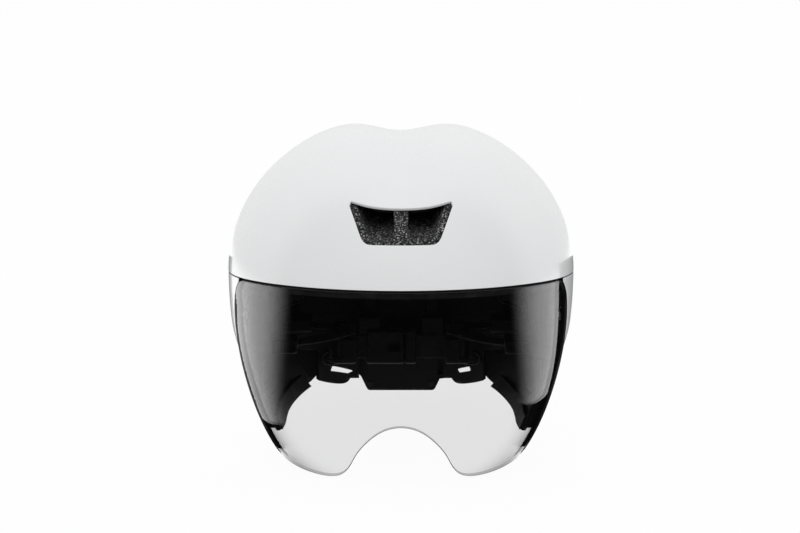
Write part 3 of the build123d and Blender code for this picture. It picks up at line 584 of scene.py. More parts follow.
trial_steps = 8
trial = Sheet(0, False, trial_steps)
cut(trial, lambda points: points[:, 2] - centre_z)
print("a trial cut at mid height leaves", len(trial.faces), "of", trial_steps ** 2, "faces")

# %% [markdown]
# ## Edge rings
#
# The rim of what is left of the grid is read as rings of edges that only one face uses. They are
# walked in the faces' own direction, so that out of the sheet can be told from into it.


# %% Edge rings
def edge_loops(sheet):
    """The cut edges, each a ring of points in the faces' own direction."""
    used = {(i, j) for f in sheet.faces for i, j in zip(f, f[1:] + f[:1])}
    after = {i: j for i, j in used if (j, i) not in used}
    loops = []
    while after:
        start = next(iter(after))
        ring = [start]
        while after.get(ring[-1], start) != start:
            ring.append(after.pop(ring[-1]))
        after.pop(ring[-1], None)
        loops.append(ring)
    return loops


print("rings round the trial", [len(ring) for ring in edge_loops(trial)])

# %% [markdown]
# ## Walls
#
# The cut grid has no thickness yet. A second grid further in and rows of faces round each rim
# close the form. The outer rows follow a quarter circle, because a moulded or polished edge
# always catches a thin line of light. Each face is marked by the side it lies on, so that a
# finish can be given to the edges alone.

# %% Walls
OUTSIDE, ROUNDED, CUT, INSIDE = range(4)


def edge_rows(wall, edge_radius, edge_steps):
    """How far out and how deep each row of an edge lies, a quarter circle on either side."""
    angles = [math.pi / 2 * n / edge_steps for n in range(1, edge_steps + 1)]
    rows = [(edge_radius * math.sin(t), edge_radius * (1 - math.cos(t))) for t in angles]
    return rows + [(o, wall - d) for o, d in reversed(rows)]


def walled(sheet, name, wall, edge_radius, edge_steps=3):
    """A closed mesh: this sheet, its inner side, and rounded edges that join them."""
    used = sorted({i for f in sheet.faces for i in f})
    number = {old: new for new, old in enumerate(used)}
    faces = [tuple(number[i] for i in f) for f in sheet.faces]
    loops = [[number[i] for i in ring] for ring in edge_loops(sheet)]
    grid = sheet.grid[used]
    outer = sheet.points(grid)
    normal = form_normals(grid, sheet.inset, sheet.narrow)
    a, b, c = (outer[[f[k] for f in faces]] for k in (0, 1, 2))
    if np.einsum("ij,ij->i", np.cross(b - a, c - b), normal[[f[1] for f in faces]]).sum() < 0:
        faces = [f[::-1] for f in faces]
        loops = [ring[::-1] for ring in loops]
    count = len(outer)
    points = [outer, outer - wall * normal]
    made = faces + [tuple(i + count for i in f[::-1]) for f in faces]
    sides = [OUTSIDE] * len(faces) + [INSIDE] * len(faces)
    total = 2 * count
    for ring in loops:
        here = outer[ring]
        along = np.roll(here, -1, axis=0) - np.roll(here, 1, axis=0)
        out = np.cross(along, normal[ring])
        out /= np.maximum(np.linalg.norm(out, axis=1, keepdims=True), 1e-12)
        levels = [list(ring)]
        for reach, depth in edge_rows(wall, edge_radius, edge_steps):
            points.append(here + reach * out - depth * normal[ring])
            levels.append([total + n for n in range(len(ring))])
            total += len(ring)
        levels.append([i + count for i in ring])
        for strip, (upper, lower) in enumerate(zip(levels, levels[1:])):
            sides += [ROUNDED if strip < edge_steps else CUT] * len(ring)
            for n in range(len(ring)):
                m = (n + 1) % len(ring)
                made.append((upper[m], upper[n], lower[n], lower[m]))
    mesh = bpy.data.meshes.new(name)
    mesh.from_pydata(np.vstack(points).tolist(), [], made)
    mesh.validate()
    mesh.shade_smooth()
    piece = placed(name, mesh)
    even = piece.modifiers.new("even_normals", "WEIGHTED_NORMAL")
    even.weight = 100
    return piece, np.array(sides)


# %% [markdown]
# ## Outer shell
#
# The shell is one glossy moulding from the brow to the tail. It ends at a seam that runs back
# from the brow, at the cut tail, and at the vent. Each is an outline in the view in which it is
# simplest: the seam and tail from the side, the vent from the front.

# %% Shell outlines
far = 0.26
top_z, below_z = 0.25, -0.04
seam = 0.0006
brow_line = [(-0.170, 0.1162), (-0.144, 0.1143), (-0.107, 0.1115), (-0.073, 0.1086), (-0.040, 0.1058)]
seam_line = [(0.020, 0.0985), (0.080, 0.086), (0.170, 0.060)]

split = smooth_line(brow_line + seam_line)
print("seam drawn with", len(split), "points")

# %% [markdown]
# ## Tail and vent
#
# The tail is cut off along a slanted plane. The vent's upper side is an arc that sinks towards
# the middle, like the crown's dip above it, and its corners are round.

# %% Tail and vent
tail_top, tail_bottom = np.array([0.1438, 0.126]), np.array([0.1358, 0.048])
vent_top_half, vent_corner_z, vent_middle_z = 0.0302, 0.1599, 0.1553
vent_bottom_half, vent_bottom_z = 0.021, 0.1384
vent_bottom_round, vent_top_round = 0.0056, 0.0014
vent_chords = 14


def before_tail(points):
    """How far points lie in front of the cut tail."""
    rise_up = tail_top - tail_bottom
    rel = points[:, 1:3] - tail_bottom
    return -(rel[:, 0] * rise_up[1] - rel[:, 1] * rise_up[0]) / np.linalg.norm(rise_up)


def arc_through(half, end_z, middle_z, chords):
    """An arc from left to right through its middle, seen from the front."""
    sag = end_z - middle_z
    radius = (half * half + sag * sag) / (2 * sag)
    limit = math.asin(half / radius)
    turns = [limit * (2 * n / chords - 1) for n in range(chords + 1)]
    return [(radius * math.sin(t), middle_z + radius * (1 - math.cos(t))) for t in turns]


vent_top = arc_through(vent_top_half, vent_corner_z, vent_middle_z, vent_chords)
vent_outline = rounded(vent_top + [(vent_bottom_half, vent_bottom_z), (-vent_bottom_half, vent_bottom_z)],
                       [vent_top_round] + [0] * (vent_chords - 1)
                       + [vent_top_round, vent_bottom_round, vent_bottom_round])


def outside_vent(points):
    """How far points lie outside the vent, which is only in front."""
    outside = -depth_inside(points[:, [0, 2]], vent_outline)
    return np.where(points[:, 1] < centre_y, outside, far)


print("vent", 2 * vent_top_half, "m wide at its top")

# %% [markdown]
# ## Cutting the shell
#
# Every outline is drawn in by the edge's radius first, because the rounded edge adds that much
# again. A fine grid costs little here and keeps the highlights on the crest ridges smooth.

# %% Cutting the shell
shell_wall, edge_radius = 0.0018, 0.00035
shell_steps = 230


def drawn_in(inside, by):
    """A cut moved inward, to leave room for a rounded edge."""
    return lambda points: inside(points) - by


above_seam = side_view(np.vstack([split, [(far, seam_line[-1][1]), (far, top_z), (-far, top_z),
                                          (-far, brow_line[0][1])]]))
shell = Sheet(0, True, shell_steps)
for limit in (above_seam, before_tail, outside_vent):
    cut(shell, drawn_in(limit, edge_radius))
outer_shell, _ = walled(shell, "shell_moulding", shell_wall, edge_radius)
carried(outer_shell, "shell_white", "helmet", "outer_shell")
print("shell faces", len(outer_shell.data.polygons), "edges", len(edge_loops(shell)))

# %% [markdown]
# ## Covers under the seam
#
# Two side covers and a rear cover go on under the shell's seam, each a moulding of its own. The
# side covers end at the lens, and low down they reach a little way in under its edge. A cut by
# outlines in the side view gives all three, and a mirrored copy gives the wearer's right.

# %% Cover outlines
lens_rear_line = [(-0.066, 0.1056), (-0.058, 0.098), (-0.0545, 0.086), (-0.058, 0.068),
                  (-0.0644, 0.0559), (-0.068, 0.050), (-0.077, 0.033), (-0.0815, 0.018), (-0.082, 0.004)]
rim_line = [(-0.095, 0.0235), (-0.077, 0.0192), (-0.061, 0.0172), (-0.029, 0.0174), (0.011, 0.0173),
            (0.043, 0.018), (0.062, 0.020), (0.078, 0.025), (0.096, 0.0295), (0.112, 0.0315),
            (0.170, 0.034)]
tuck_top_z, tuck_depth, cover_rear_y = 0.054, 0.006, 0.058

under_seam = side_view(np.vstack([smooth_line([(y, z - seam) for y, z in brow_line + seam_line]),
                                  [(far, seam_line[-1][1] - seam), (far, below_z), (-far, below_z),
                                   (-far, brow_line[0][1] - seam)]]))
over_rim = side_view(np.vstack([smooth_line(rim_line), [(far, rim_line[-1][1]), (far, top_z),
                                                        (-far, top_z), (-far, rim_line[0][1])]]))
cover_front_high = smooth_line([(y + seam, z) for y, z in lens_rear_line if z > tuck_top_z])
cover_front_low = smooth_line([(y - tuck_depth, z) for y, z in lens_rear_line if z < tuck_top_z])
cover_outline = side_view(np.vstack([cover_front_high, cover_front_low,
                                     [(cover_front_low[-1][0], below_z), (cover_rear_y, below_z),
                                      (cover_rear_y, top_z), (cover_front_high[0][0], top_z)]]))
lens_top = [(y, z - seam) for y, z in brow_line if y < lens_rear_line[0][0]]
lens_side = side_view(np.vstack([smooth_line(lens_rear_line),
                                 [(lens_rear_line[-1][0], below_z), (brow_line[0][0], below_z)],
                                 smooth_line([(y, z - seam) for y, z in lens_top])]))
print("rim from", rim_line[0], "to", rim_line[-1])

# %% [markdown]
# ## Painted shade on the inner sides
#
# The inner side and the cut walls take a near-black finish: painted shade for the dark gap above the foam
# and for the narrow seams between the covers. The strip that the lens covers takes the same dark finish.
# Two materials on one mesh do that, chosen per face by the side it was marked with and by whether the lens
# covers it.

# %% Dark inner sides
painted_shade_pieces = []


def paint_shade_inside(piece, sides):
    """The inner side and cut walls take painted shade, and the strip that the lens covers takes the same
    dark finish.
    """
    flat = np.empty(len(piece.data.polygons) * 3)
    piece.data.polygons.foreach_get("center", flat)
    # The inner side and cut walls get painted shade, and the strip that the lens covers gets the same dark
    # finish.
    covered = lens_side(flat.reshape(-1, 3)) > 0
    piece.data.polygons.foreach_set("material_index", (covered | (sides >= CUT)).astype(np.int32))
    painted_shade_pieces.append(piece)


# %% [markdown]
# ## Making the covers
#
# The left cover is made first, and the right one is its mirror image. The rear cover spans both
# sides behind them, between the seam, the rim and the cut tail.


# %% Making the covers
def left_half(points):
    """How far points lie on the wearer's left."""
    return points[:, 0]


def behind_cover(points):
    """How far points lie behind the side covers."""
    return points[:, 1] - cover_rear_y - seam


def mirrored(piece, name):
    """The same piece on the wearer's right."""
    mesh = piece.data.copy()
    mesh.name = name
    mesh.transform(((-1, 0, 0, 0), (0, 1, 0, 0), (0, 0, 1, 0), (0, 0, 0, 1)))
    mesh.flip_normals()
    twin = placed(name, mesh)
    for modifier in piece.modifiers:
        copy = twin.modifiers.new(modifier.name, modifier.type)
        if modifier.type == "WEIGHTED_NORMAL":
            copy.weight = modifier.weight
        else:
            copy.levels = copy.render_levels = modifier.levels
    return twin


# One sheet for each cover, cut by every outline in turn.
cover = Sheet(0, True, shell_steps)
for limit in (left_half, cover_outline, under_seam, over_rim):
    cut(cover, drawn_in(limit, edge_radius))
cover_left, cover_sides = walled(cover, "side_cover_left", shell_wall, edge_radius)
paint_shade_inside(cover_left, cover_sides)
cover_right = mirrored(cover_left, "side_cover_right")
painted_shade_pieces.append(cover_right)
rear = Sheet(0, True, shell_steps)
for limit in (behind_cover, under_seam, over_rim, before_tail):
    cut(rear, drawn_in(limit, edge_radius))
rear_cover, rear_sides = walled(rear, "rear_cover", shell_wall, edge_radius)
paint_shade_inside(rear_cover, rear_sides)
for piece, node in ((cover_left, "side_panel_left"), (cover_right, "side_panel_right"),
                    (rear_cover, "rear_panel")):
    carried(piece, "shell_white", "helmet", node)
    print(piece.name, len(piece.data.polygons))

# %% [markdown]
# ## Lens
#
# The lens is one curved sheet, smoked and polished, and flush with the brow. Its front edge
# drops in two lobes with an arch between them for the nose. It is cut from the same form as the
# shell, from the side for the brow and rear edges and from the front for the lobes.

# %% Lens
lens_inset, lens_wall, lens_edge_radius = 0.0002, 0.002, 0.0004
lobe_line = [(0.084, 0.016), (0.074, 0.0084), (0.066, 0.0044), (0.057, 0.0016), (0.0475, 0.00015),
             (0.041, 0.0001), (0.035, 0.0018)]
arch_line = [(0.0306, 0.006), (0.026, 0.0149), (0.0186, 0.0248), (0.0102, 0.0313), (0.0, 0.0338)]
lower_left = lobe_line + arch_line
lower_edge = smooth_line(lower_left + [(-x, z) for x, z in reversed(lower_left[:-1])])
lens_front = front_view(np.vstack([lower_edge, [(-far, lower_edge[-1][1]), (-far, top_z), (far, top_z),
                                                (far, lower_edge[0][1])]]))
lens_sheet = Sheet(lens_inset, False, shell_steps)
for limit in (lens_side, lens_front):
    cut(lens_sheet, drawn_in(limit, lens_edge_radius))
lens, lens_sides = walled(lens_sheet, "lens_sheet", lens_wall, lens_edge_radius)
carried(lens, "lens_smoke", "visor", "lens")
print("lens faces", len(lens.data.polygons), "of them at the edge", int((lens_sides % INSIDE > 0).sum()))

# %% [markdown]
# ## Side seals
#
# Low down the lens stands a few millimetres further out than the side cover behind it. A soft
# black lip on the cover's front edge fills that step, so that no light comes in beside the face.

# %% Side seals
lip_top_z, lip_low_z, lip_back, lip_thick, lip_clear = 0.070, 0.0225, 0.0026, 0.0016, 0.0004
lip_rows = 60
lens_rear = smooth_line(lens_rear_line)


def half_width(y, z, inset, narrow):
    """The form's half width at a point of the side view."""
    low = rise((centre_z - z) / centre_z)
    along = y - centre_y - low_shift_y * low
    along = along / (1 - low_front_share * low if along < 0 else 1 + low_back_share * low)
    long = (front_half if along < 0 else back_half) - inset
    tall = (upper_half if z > centre_z else lower_half) - inset
    x = (side_half - inset) * math.sqrt(max(1 - (along / long) ** 2 - ((z - centre_z) / tall) ** 2, 0))
    return x * (1 - narrow_share * rise((narrow_top_z - z) / narrow_run_z) if narrow else 1)


def sleeve_faces(rows, sides):
    """Faces round rows of points, with a cap at either end."""
    faces = [(n * sides + k, n * sides + (k + 1) % sides, (n + 1) * sides + (k + 1) % sides,
              (n + 1) * sides + k) for n in range(rows - 1) for k in range(sides)]
    last = (rows - 1) * sides
    return faces + [tuple(range(sides))[::-1], tuple(last + k for k in range(sides))]


def side_lip(name):
    """A lip from the side cover's front edge out to the lens, rounded at its outer edge."""
    verts = []
    for n in range(lip_rows + 1):
        z = lip_top_z + (lip_low_z - lip_top_z) * n / lip_rows
        y = float(np.interp(-z, -lens_rear[:, 1], lens_rear[:, 0])) - lip_back
        inner = half_width(y, z, shell_wall, True)
        outer = half_width(y, z, lens_inset + lens_wall + lip_clear, False)
        outer = max(outer, inner + lip_thick / 4)
        ring = [(inner, -0.5), (outer - lip_thick / 2, -0.5), (outer, 0.0),
                (outer - lip_thick / 2, 0.5), (inner, 0.5)]
        verts += [(x, y + lip_thick * share, z) for x, share in ring]
    return smooth_piece(name, verts, sleeve_faces(lip_rows + 1, len(ring)))


lip_left = carried(side_lip("side_lip_left"), "seal_rubber", "helmet")
carried(mirrored(lip_left, "side_lip_right"), "seal_rubber", "helmet")
print("side lips", len(lip_left.data.polygons))

# %% [markdown]
# ## Pads
#
# A pad is knitted cloth over soft foam, sewn to a flat backing. Each starts as its solid, a
# little drawn in, on an even grid, and a cloth simulation with pressure in it makes the cover
# swell between the backing and the seam. The backing is held, and no point may move far, so a
# pad stays in the room that the frame keeps for it. One side is simulated and the other is its
# mirror, as pads are cut in pairs.

# %% Ways out of the head space
cavity_centre = Vector((0.0, -0.015, 0.081))
cavity_half = Vector((0.080, 0.101, 0.083))
bend_middle = Vector((0.0295, 0.0333, 0.0))


def from_cavity(spot):
    """The way out of the head space at a point."""
    rel = spot - cavity_centre
    return Vector((rel[k] / cavity_half[k] ** 2 for k in range(3))).normalized()


def from_middle(_):
    """Straight out to the wearer's left."""
    return Vector((1.0, 0.0, 0.0))


def from_bend(spot):
    """Out from the middle of the belt's bend."""
    return Vector((spot.x - bend_middle.x, spot.y - bend_middle.y, 0.0)).normalized()


above_head = cavity_centre + Vector((0.0, 0.0, cavity_half.z))
print("way out above the head", [round(v, 2) for v in from_cavity(above_head)])

# %% [markdown]
# ## An even grid for each pad
#
# Cloth needs points at even distances, and a solid's own faces are long strips. A voxel remesh
# gives the even grid. The pad starts a little smaller than its solid, because it will swell.

# %% An even grid for each pad
pad_voxel, small_voxel = 0.0026, 0.0017
pad_drawn_in = 0.0009


def finished_mesh(piece):
    """A piece's mesh with its modifiers carried out."""
    seen = piece.evaluated_get(bpy.context.evaluated_depsgraph_get())
    return bpy.data.meshes.new_from_object(seen)


def even_copy(name, node, voxel):
    """A node's solid on an even grid, drawn in a little."""
    piece = placed(name, nodes[node].data.copy())
    piece.data.materials.clear()
    again = piece.modifiers.new("even_grid", "REMESH")
    again.mode, again.voxel_size = "VOXEL", voxel
    mesh = finished_mesh(piece)
    piece.modifiers.remove(again)
    piece.data = mesh
    for vertex, normal in zip(mesh.vertices, [v.normal.copy() for v in mesh.vertices]):
        vertex.co -= normal * pad_drawn_in
    mesh.update()
    print(name, "on an even grid of", len(mesh.vertices), "points")
    return piece


# %% [markdown]
# ## Swelling the covers
#
# The faces that look away from the head are the backing, which is glued down and held. Pressure
# blows up the rest for twenty frames. How far a point may move is capped, so that a cover never
# meets its neighbour, and the result is written to the mesh, so no simulation is left on it.

# %% Swelling the covers
pad_pressure, pad_frames, pad_cap = 4.0, 20, 0.0011
back_share = 0.55


def swell(piece, out_at):
    """Blows a pad's cover up with a cloth simulation, its backing held."""
    mesh = piece.data
    start = np.array([v.co for v in mesh.vertices])
    held = piece.vertex_groups.new(name="backing")
    held.add([v.index for v in mesh.vertices if v.normal.dot(out_at(v.co)) > back_share], 1.0, "REPLACE")
    cloth = piece.modifiers.new("cover", "CLOTH")
    cloth.settings.vertex_group_mass = "backing"
    cloth.settings.use_pressure = True
    cloth.settings.uniform_pressure_force = pad_pressure
    cloth.settings.effector_weights.gravity = 0.0
    cloth.point_cache.frame_start, cloth.point_cache.frame_end = 1, pad_frames
    for frame_number in range(1, pad_frames + 1):
        scene.frame_set(frame_number)
    swollen = finished_mesh(piece)
    moved = np.array([v.co for v in swollen.vertices]) - start
    far_moved = np.linalg.norm(moved, axis=1, keepdims=True)
    moved *= np.minimum(1, pad_cap / np.maximum(far_moved, 1e-9))
    piece.modifiers.remove(cloth)
    scene.frame_set(1)
    mesh.vertices.foreach_set("co", (start + moved).ravel())
    mesh.update()
    print(piece.name, "swells by up to", round(far_moved.max() * 1000, 2), "mm before the cap")


# %% [markdown]
# ## Making the pads
#
# One level of subdivision turns the even grid into a smooth cover. The fill says how much of the room under
# a cover is foam. The swelling moves no point by much more than a millimetre.


# %% Making the pads
def pad(name, node, out_at, body, voxel=pad_voxel):
    """One pad, swollen and smooth."""
    piece = even_copy(name, node, voxel)
    swell(piece, out_at)
    smooth = piece.modifiers.new("smooth", "SUBSURF")
    smooth.levels = smooth.render_levels = 1
    piece.data.shade_smooth()
    carried(piece, "pad_fabric", body, node)
    return piece


def pad_twin(piece, name, node, body):
    """The same pad on the wearer's right."""
    twin = carried(mirrored(piece, name), "pad_fabric", body, node)


pad("brow_cushion", "brow_pad", from_cavity, "helmet")
for place, out_at, body, fill, voxel in (("side_pad", from_cavity, "helmet", 0.7, pad_voxel),
                                         ("crown_pad", from_cavity, "helmet", 0.6, pad_voxel),
                                         ("ear_pad", from_middle, "helmet", 0.7, pad_voxel),
                                         ("belt_pad", from_bend, "belt", 0.8, small_voxel)):
    bodies = [body if body == "helmet" else body + "_" + side for side in ("left", "right")]
    one = pad(place + "_cushion_left", place + "_left", out_at, bodies[0], voxel)
    pad_twin(one, place + "_cushion_right", place + "_right", bodies[1])

# %% [markdown]
# ## Pad seams
#
# The seam runs where the cover meets the backing. On the solid that is the ring of edges between
# the faces that lie on the foam and all the others, so it is walked there, evened out, and given
# a thin piping with a row of stitches on it.

# %% Seam rings
seam_step, seam_smoothings = 0.0014, 6


def seam_ring(node, out_at):
    """The ring of points where a pad's cover meets its backing, evenly spaced."""
    solid = bmesh.new()
    solid.from_mesh(nodes[node].data)
    bmesh.ops.remove_doubles(solid, verts=solid.verts, dist=1e-6)
    back = {f.index for f in solid.faces if f.normal.dot(out_at(f.calc_center_median())) > back_share}
    beside = {}
    for edge in solid.edges:
        if len({f.index in back for f in edge.link_faces}) == 2:
            one, two = edge.verts
            beside.setdefault(one.index, []).append(two.index)
            beside.setdefault(two.index, []).append(one.index)
    place = {v.index: v.co.copy() for v in solid.verts}
    solid.free()
    rings, left = [], set(beside)
    while left:
        ring = [min(left)]
        left.discard(ring[0])
        while True:
            ahead = [n for n in beside[ring[-1]] if n in left]
            if not ahead:
                break
            ring.append(ahead[0])
            left.discard(ahead[0])
        rings.append(ring)
    longest = np.array([place[n] for n in max(rings, key=len)])
    around = np.vstack([longest, longest[:1]])
    lengths = np.concatenate([[0], np.cumsum(np.linalg.norm(np.diff(around, axis=0), axis=1))])
    count = max(int(lengths[-1] / seam_step), 12)
    even = np.linspace(0, lengths[-1], count, endpoint=False)
    ring = np.stack([np.interp(even, lengths, around[:, k]) for k in range(3)], axis=1)
    for _ in range(seam_smoothings):
        ring = (np.roll(ring, 1, axis=0) + 2 * ring + np.roll(ring, -1, axis=0)) / 4
    return ring


# %% [markdown]
# ## Piping
#
# Piping is a thin round cord in cloth, sewn into the seam so that the pad's edge wears well. It
# is a tube round the seam's ring of points.

# %% Piping
piping_radius = 0.0007


def tube(points, radius, sides=8):
    """Points and faces of a tube round a closed ring."""
    count = len(points)
    along = np.roll(points, -1, axis=0) - np.roll(points, 1, axis=0)
    along /= np.linalg.norm(along, axis=1, keepdims=True)
    up = np.cross(along, points - points.mean(axis=0))
    up /= np.maximum(np.linalg.norm(up, axis=1, keepdims=True), 1e-9)
    side = np.cross(along, up)
    rows = [points + radius * (math.cos(t) * up + math.sin(t) * side)
            for t in (2 * math.pi * k / sides for k in range(sides))]
    verts = np.stack(rows, axis=1).reshape(-1, 3)
    faces = [(i * sides + k, ((i + 1) % count) * sides + k, ((i + 1) % count) * sides + (k + 1) % sides,
              i * sides + (k + 1) % sides) for i in range(count) for k in range(sides)]
    return verts, faces


def joined(name, parts):
    """One smooth mesh from several lists of points and faces."""
    points, faces, total = [], [], 0
    for verts, rings in parts:
        points.append(verts)
        faces += [tuple(i + total for i in ring) for ring in rings]
        total += len(verts)
    return smooth_piece(name, np.vstack(points).tolist(), faces)


# %% [markdown]
# ## Stitches
#
# A stitch is a short bow of thread that dives into the cloth at both ends, so it is a spindle
# with pinched ends. Many of them make one mesh.

# %% Stitches
stitch_long, stitch_radius, stitch_pitch = 0.0019, 0.00022, 0.0028


def stitch(middle, along, sides=6):
    """Points and faces of one stitch: a short spindle with pinched ends."""
    along = np.array(along) / np.linalg.norm(along)
    guess = np.array((0.0, 0.0, 1.0)) if abs(along[2]) < 0.9 else np.array((1.0, 0.0, 0.0))
    up = np.cross(along, guess)
    up /= np.linalg.norm(up)
    side = np.cross(along, up)
    shares = (-0.5, -0.36, 0.0, 0.36, 0.5)
    widths = (0.25, 0.85, 1.0, 0.85, 0.25)
    verts = np.array([middle + stitch_long * s * along
                      + stitch_radius * w * (math.cos(t) * up + math.sin(t) * side)
                      for s, w in zip(shares, widths)
                      for t in (2 * math.pi * k / sides for k in range(sides))])
    return verts, sleeve_faces(len(shares), sides)


print("points in a stitch", len(stitch(np.zeros(3), (1.0, 0.0, 0.0))[0]))

# %% [markdown]
# ## Sewing the pads
#
# The piping lies on the backing's edge, a little in from it. Each pad on the left is sewn here,
# and its mirror image goes on the right. The brow pad crosses the middle, so it has no twin.

# %% Sewing the pads
threads = []
piping_inset_share = 0.6

for place, out_at, body in (("brow_pad", from_cavity, "helmet"), ("side_pad_left", from_cavity, "helmet"),
                            ("crown_pad_left", from_cavity, "helmet"),
                            ("ear_pad_left", from_middle, "helmet"),
                            ("belt_pad_left", from_bend, "belt_left")):
    ring = seam_ring(place, out_at)
    inward = np.array([-out_at(Vector(p)) for p in ring])
    from_centre = ring - ring.mean(axis=0)
    from_centre /= np.linalg.norm(from_centre, axis=1, keepdims=True)
    ring = ring + inward * piping_radius - piping_inset_share * piping_radius * from_centre
    piping = carried(joined(place + "_piping", [tube(ring, piping_radius)]), "web_fabric", body)
    every = max(round(stitch_pitch / seam_step), 1)
    ways = np.roll(ring, -1, axis=0) - np.roll(ring, 1, axis=0)
    row = carried(joined(place + "_stitches", [stitch(ring[n] + inward[n] * piping_radius, ways[n])
                                               for n in range(0, len(ring), every)]), "web_fabric", body)
    threads.append(row)
    if place != "brow_pad":
        twin_place, twin_body = place.replace("left", "right"), body.replace("left", "right")
        carried(mirrored(piping, twin_place + "_piping"), "web_fabric", twin_body)
        threads.append(carried(mirrored(row, twin_place + "_stitches"), "web_fabric", twin_body))
    print(piping.name, len(ring), "points")

# %% [markdown]
# ## Webbing's section
#
# Webbing is woven flat, with a slightly thicker edge where the weft turns back. Its section is
# drawn with points that crowd towards the edges, where it bends most.

# %% Webbing's section
web_half, web_half_thick, edge_share = 0.0074, 0.00072, 0.84
roll_middle_share, roll_spread_share, end_squareness = 0.93, 0.05, 24
section_steps = 16


def web_section():
    """The webbing's section: (across, through, share across) points round it."""
    shares = [math.sin(math.pi / 2 * (2 * n / section_steps - 1)) for n in range(section_steps + 1)]
    upper = []
    for share in shares:
        roll = math.exp(-((abs(share) - roll_middle_share) / roll_spread_share) ** 2)
        end = math.sqrt(max(1 - abs(share) ** end_squareness, 0))
        upper.append((share * web_half, web_half_thick * (edge_share + (1 - edge_share) * roll) * end))
    ring = [(a, t, (a / web_half + 1) / 2) for a, t in upper]
    ring += [(a, -t, (a / web_half + 1) / 2) for a, t in reversed(upper[1:-1])]
    return ring


print("webbing", 2 * web_half, "m wide,", len(web_section()), "points round it")

# %% [markdown]
# ## Webbing along a way
#
# The section is carried along each strap's own way. The length so far and the share across are
# kept as a flat layout in real lengths, which the weave follows.


# %% Webbing along a way
def webbing(name, way, across):
    """A length of webbing along points, with the flat direction at each."""
    section = web_section()
    lengths = np.concatenate([[0], np.cumsum([(b - a).length for a, b in zip(way, way[1:])])])
    verts, flat = [], []
    for n, spot in enumerate(way):
        along = (way[min(n + 1, len(way) - 1)] - way[max(n - 1, 0)]).normalized()
        flat_way = (across - along * across.dot(along)).normalized()
        through = along.cross(flat_way)
        for a, t, share in section:
            verts.append(spot + flat_way * a + through * t)
            flat.append((lengths[n], share))
    piece = smooth_piece(name, [tuple(v) for v in verts], sleeve_faces(len(way), len(section)))
    layout = piece.data.uv_layers.new(name="flat")
    for loop in piece.data.loops:
        layout.data[loop.index].uv = flat[loop.vertex_index]
    print(name, round(float(lengths[-1]), 3), "m long")
    return piece


# %% [markdown]
# ## The straps' ways
#
# The front and rear straps run from their anchors in the foam to the slider below the ear, each
# with a slight sag. The chin strap runs level between the sliders, through the buckle. The left
# part of it is sewn to the buckle's tongue, so it rides with the tongue when that is pulled out.

# %% The straps' ways
strap_middle = Vector((0.0345, 0.022, 0.049))
strap_sag_share, way_steps, chin_step = 0.02, 40, 0.001
front_start, front_end = Vector((0.0345, 0.0198, 0.0585)), Vector((0.0705, -0.034, 0.062))
rear_start, rear_end = Vector((0.0345, 0.0242, 0.0609)), Vector((0.064, 0.036, 0.061))
tongue_x, slider_x, buckle_x = 0.0045, 0.0443, -0.0160


def hanging_way(start, end):
    """Points of a strap between two places, sagging a little."""
    steps = way_steps
    drop = Vector((0, 0, strap_sag_share * (end - start).length))
    return [start.lerp(end, n / steps) - drop * (4 * n / steps * (1 - n / steps)) for n in range(steps + 1)]


def level_of(start, end):
    """The level direction across a strap."""
    return (end - start).cross(Vector((0, 0, 1))).normalized()


def straight_way(start_x, end_x):
    """Points of the chin strap from one side to another."""
    steps = max(int(abs(end_x - start_x) / chin_step), 2)
    return [Vector((start_x + (end_x - start_x) * n / steps, strap_middle.y, strap_middle.z))
            for n in range(steps + 1)]


upright = Vector((0, 0, 1))
straps = (
    ("front_web", hanging_way(front_start, front_end), level_of(front_start, front_end), "front_strap"),
    ("rear_web", hanging_way(rear_start, rear_end), level_of(rear_start, rear_end), "rear_strap"),
)
for name, way, across, node in straps:
    one = carried(webbing(name + "_left", way, across), "web_fabric", "helmet", node + "_left")
    carried(mirrored(one, name + "_right"), "web_fabric", "helmet", node + "_right")
chin_left = webbing("chin_web_left", straight_way(tongue_x, slider_x), upright)
carried(chin_left, "web_fabric", "buckle_male", "chin_strap_left")
chin_right = webbing("chin_web_right", straight_way(-slider_x, buckle_x), upright)
carried(chin_right, "web_fabric", "helmet", "chin_strap_right")
print("lengths of webbing", 2 * len(straps) + 2)

# %% [markdown]
# ## Helpers for the finishes
#
# Each finish is one Principled shader with its detail in the colour, the roughness and the bump.
# All of them start from the place on the object, so a grain has the same scale on every piece
# and doesn't slide when a joint moves.


# %% Helpers for the finishes
def surface(name):
    """A new material with one Principled shader, and where its surface is on the object."""
    material = bpy.data.materials.new(name)
    material.use_nodes = True
    tree = material.node_tree
    shader = tree.nodes["Principled BSDF"]
    where = add_node(tree, "ShaderNodeTexCoord").outputs["Object"]
    return material, tree, shader, where


def noise(tree, where, scale, detail=2.0, roughness=0.5):
    """A noise's value."""
    node = add_node(tree, "ShaderNodeTexNoise", {"Vector": where, "Scale": scale, "Detail": detail,
                                                 "Roughness": roughness})
    return node.outputs["Fac"]


def bump(tree, height, distance, strength=1.0):
    """A bump's normal from a height."""
    node = add_node(tree, "ShaderNodeBump", {"Height": height, "Distance": distance,
                                             "Strength": strength})
    return node.outputs["Normal"]


def plug_in(tree, shader, **inputs):
    """Sets or links a shader's inputs, with names written with underscores."""
    for key, value in inputs.items():
        socket = shader.inputs[key.replace("_", " ")]
        if isinstance(value, bpy.types.NodeSocket):
            tree.links.new(value, socket)
        else:
            socket.default_value = value


finish = {}


def ready(slot_name, material):
    """Keeps a slot's finish and says how many nodes it took."""
    finish[slot_name] = material
    print("finish", slot_name, "of", len(material.node_tree.nodes), "nodes")


# %% [markdown]
# ## Shell white
#
# The shell is gloss white under a thin clear coat. Paint always dries with a faint orange peel,
# about four waves to the centimetre here, and handling leaves a trace of dust that dulls the gloss
# in specks. The white is a little below full, so that it doesn't clip where the light is strong.

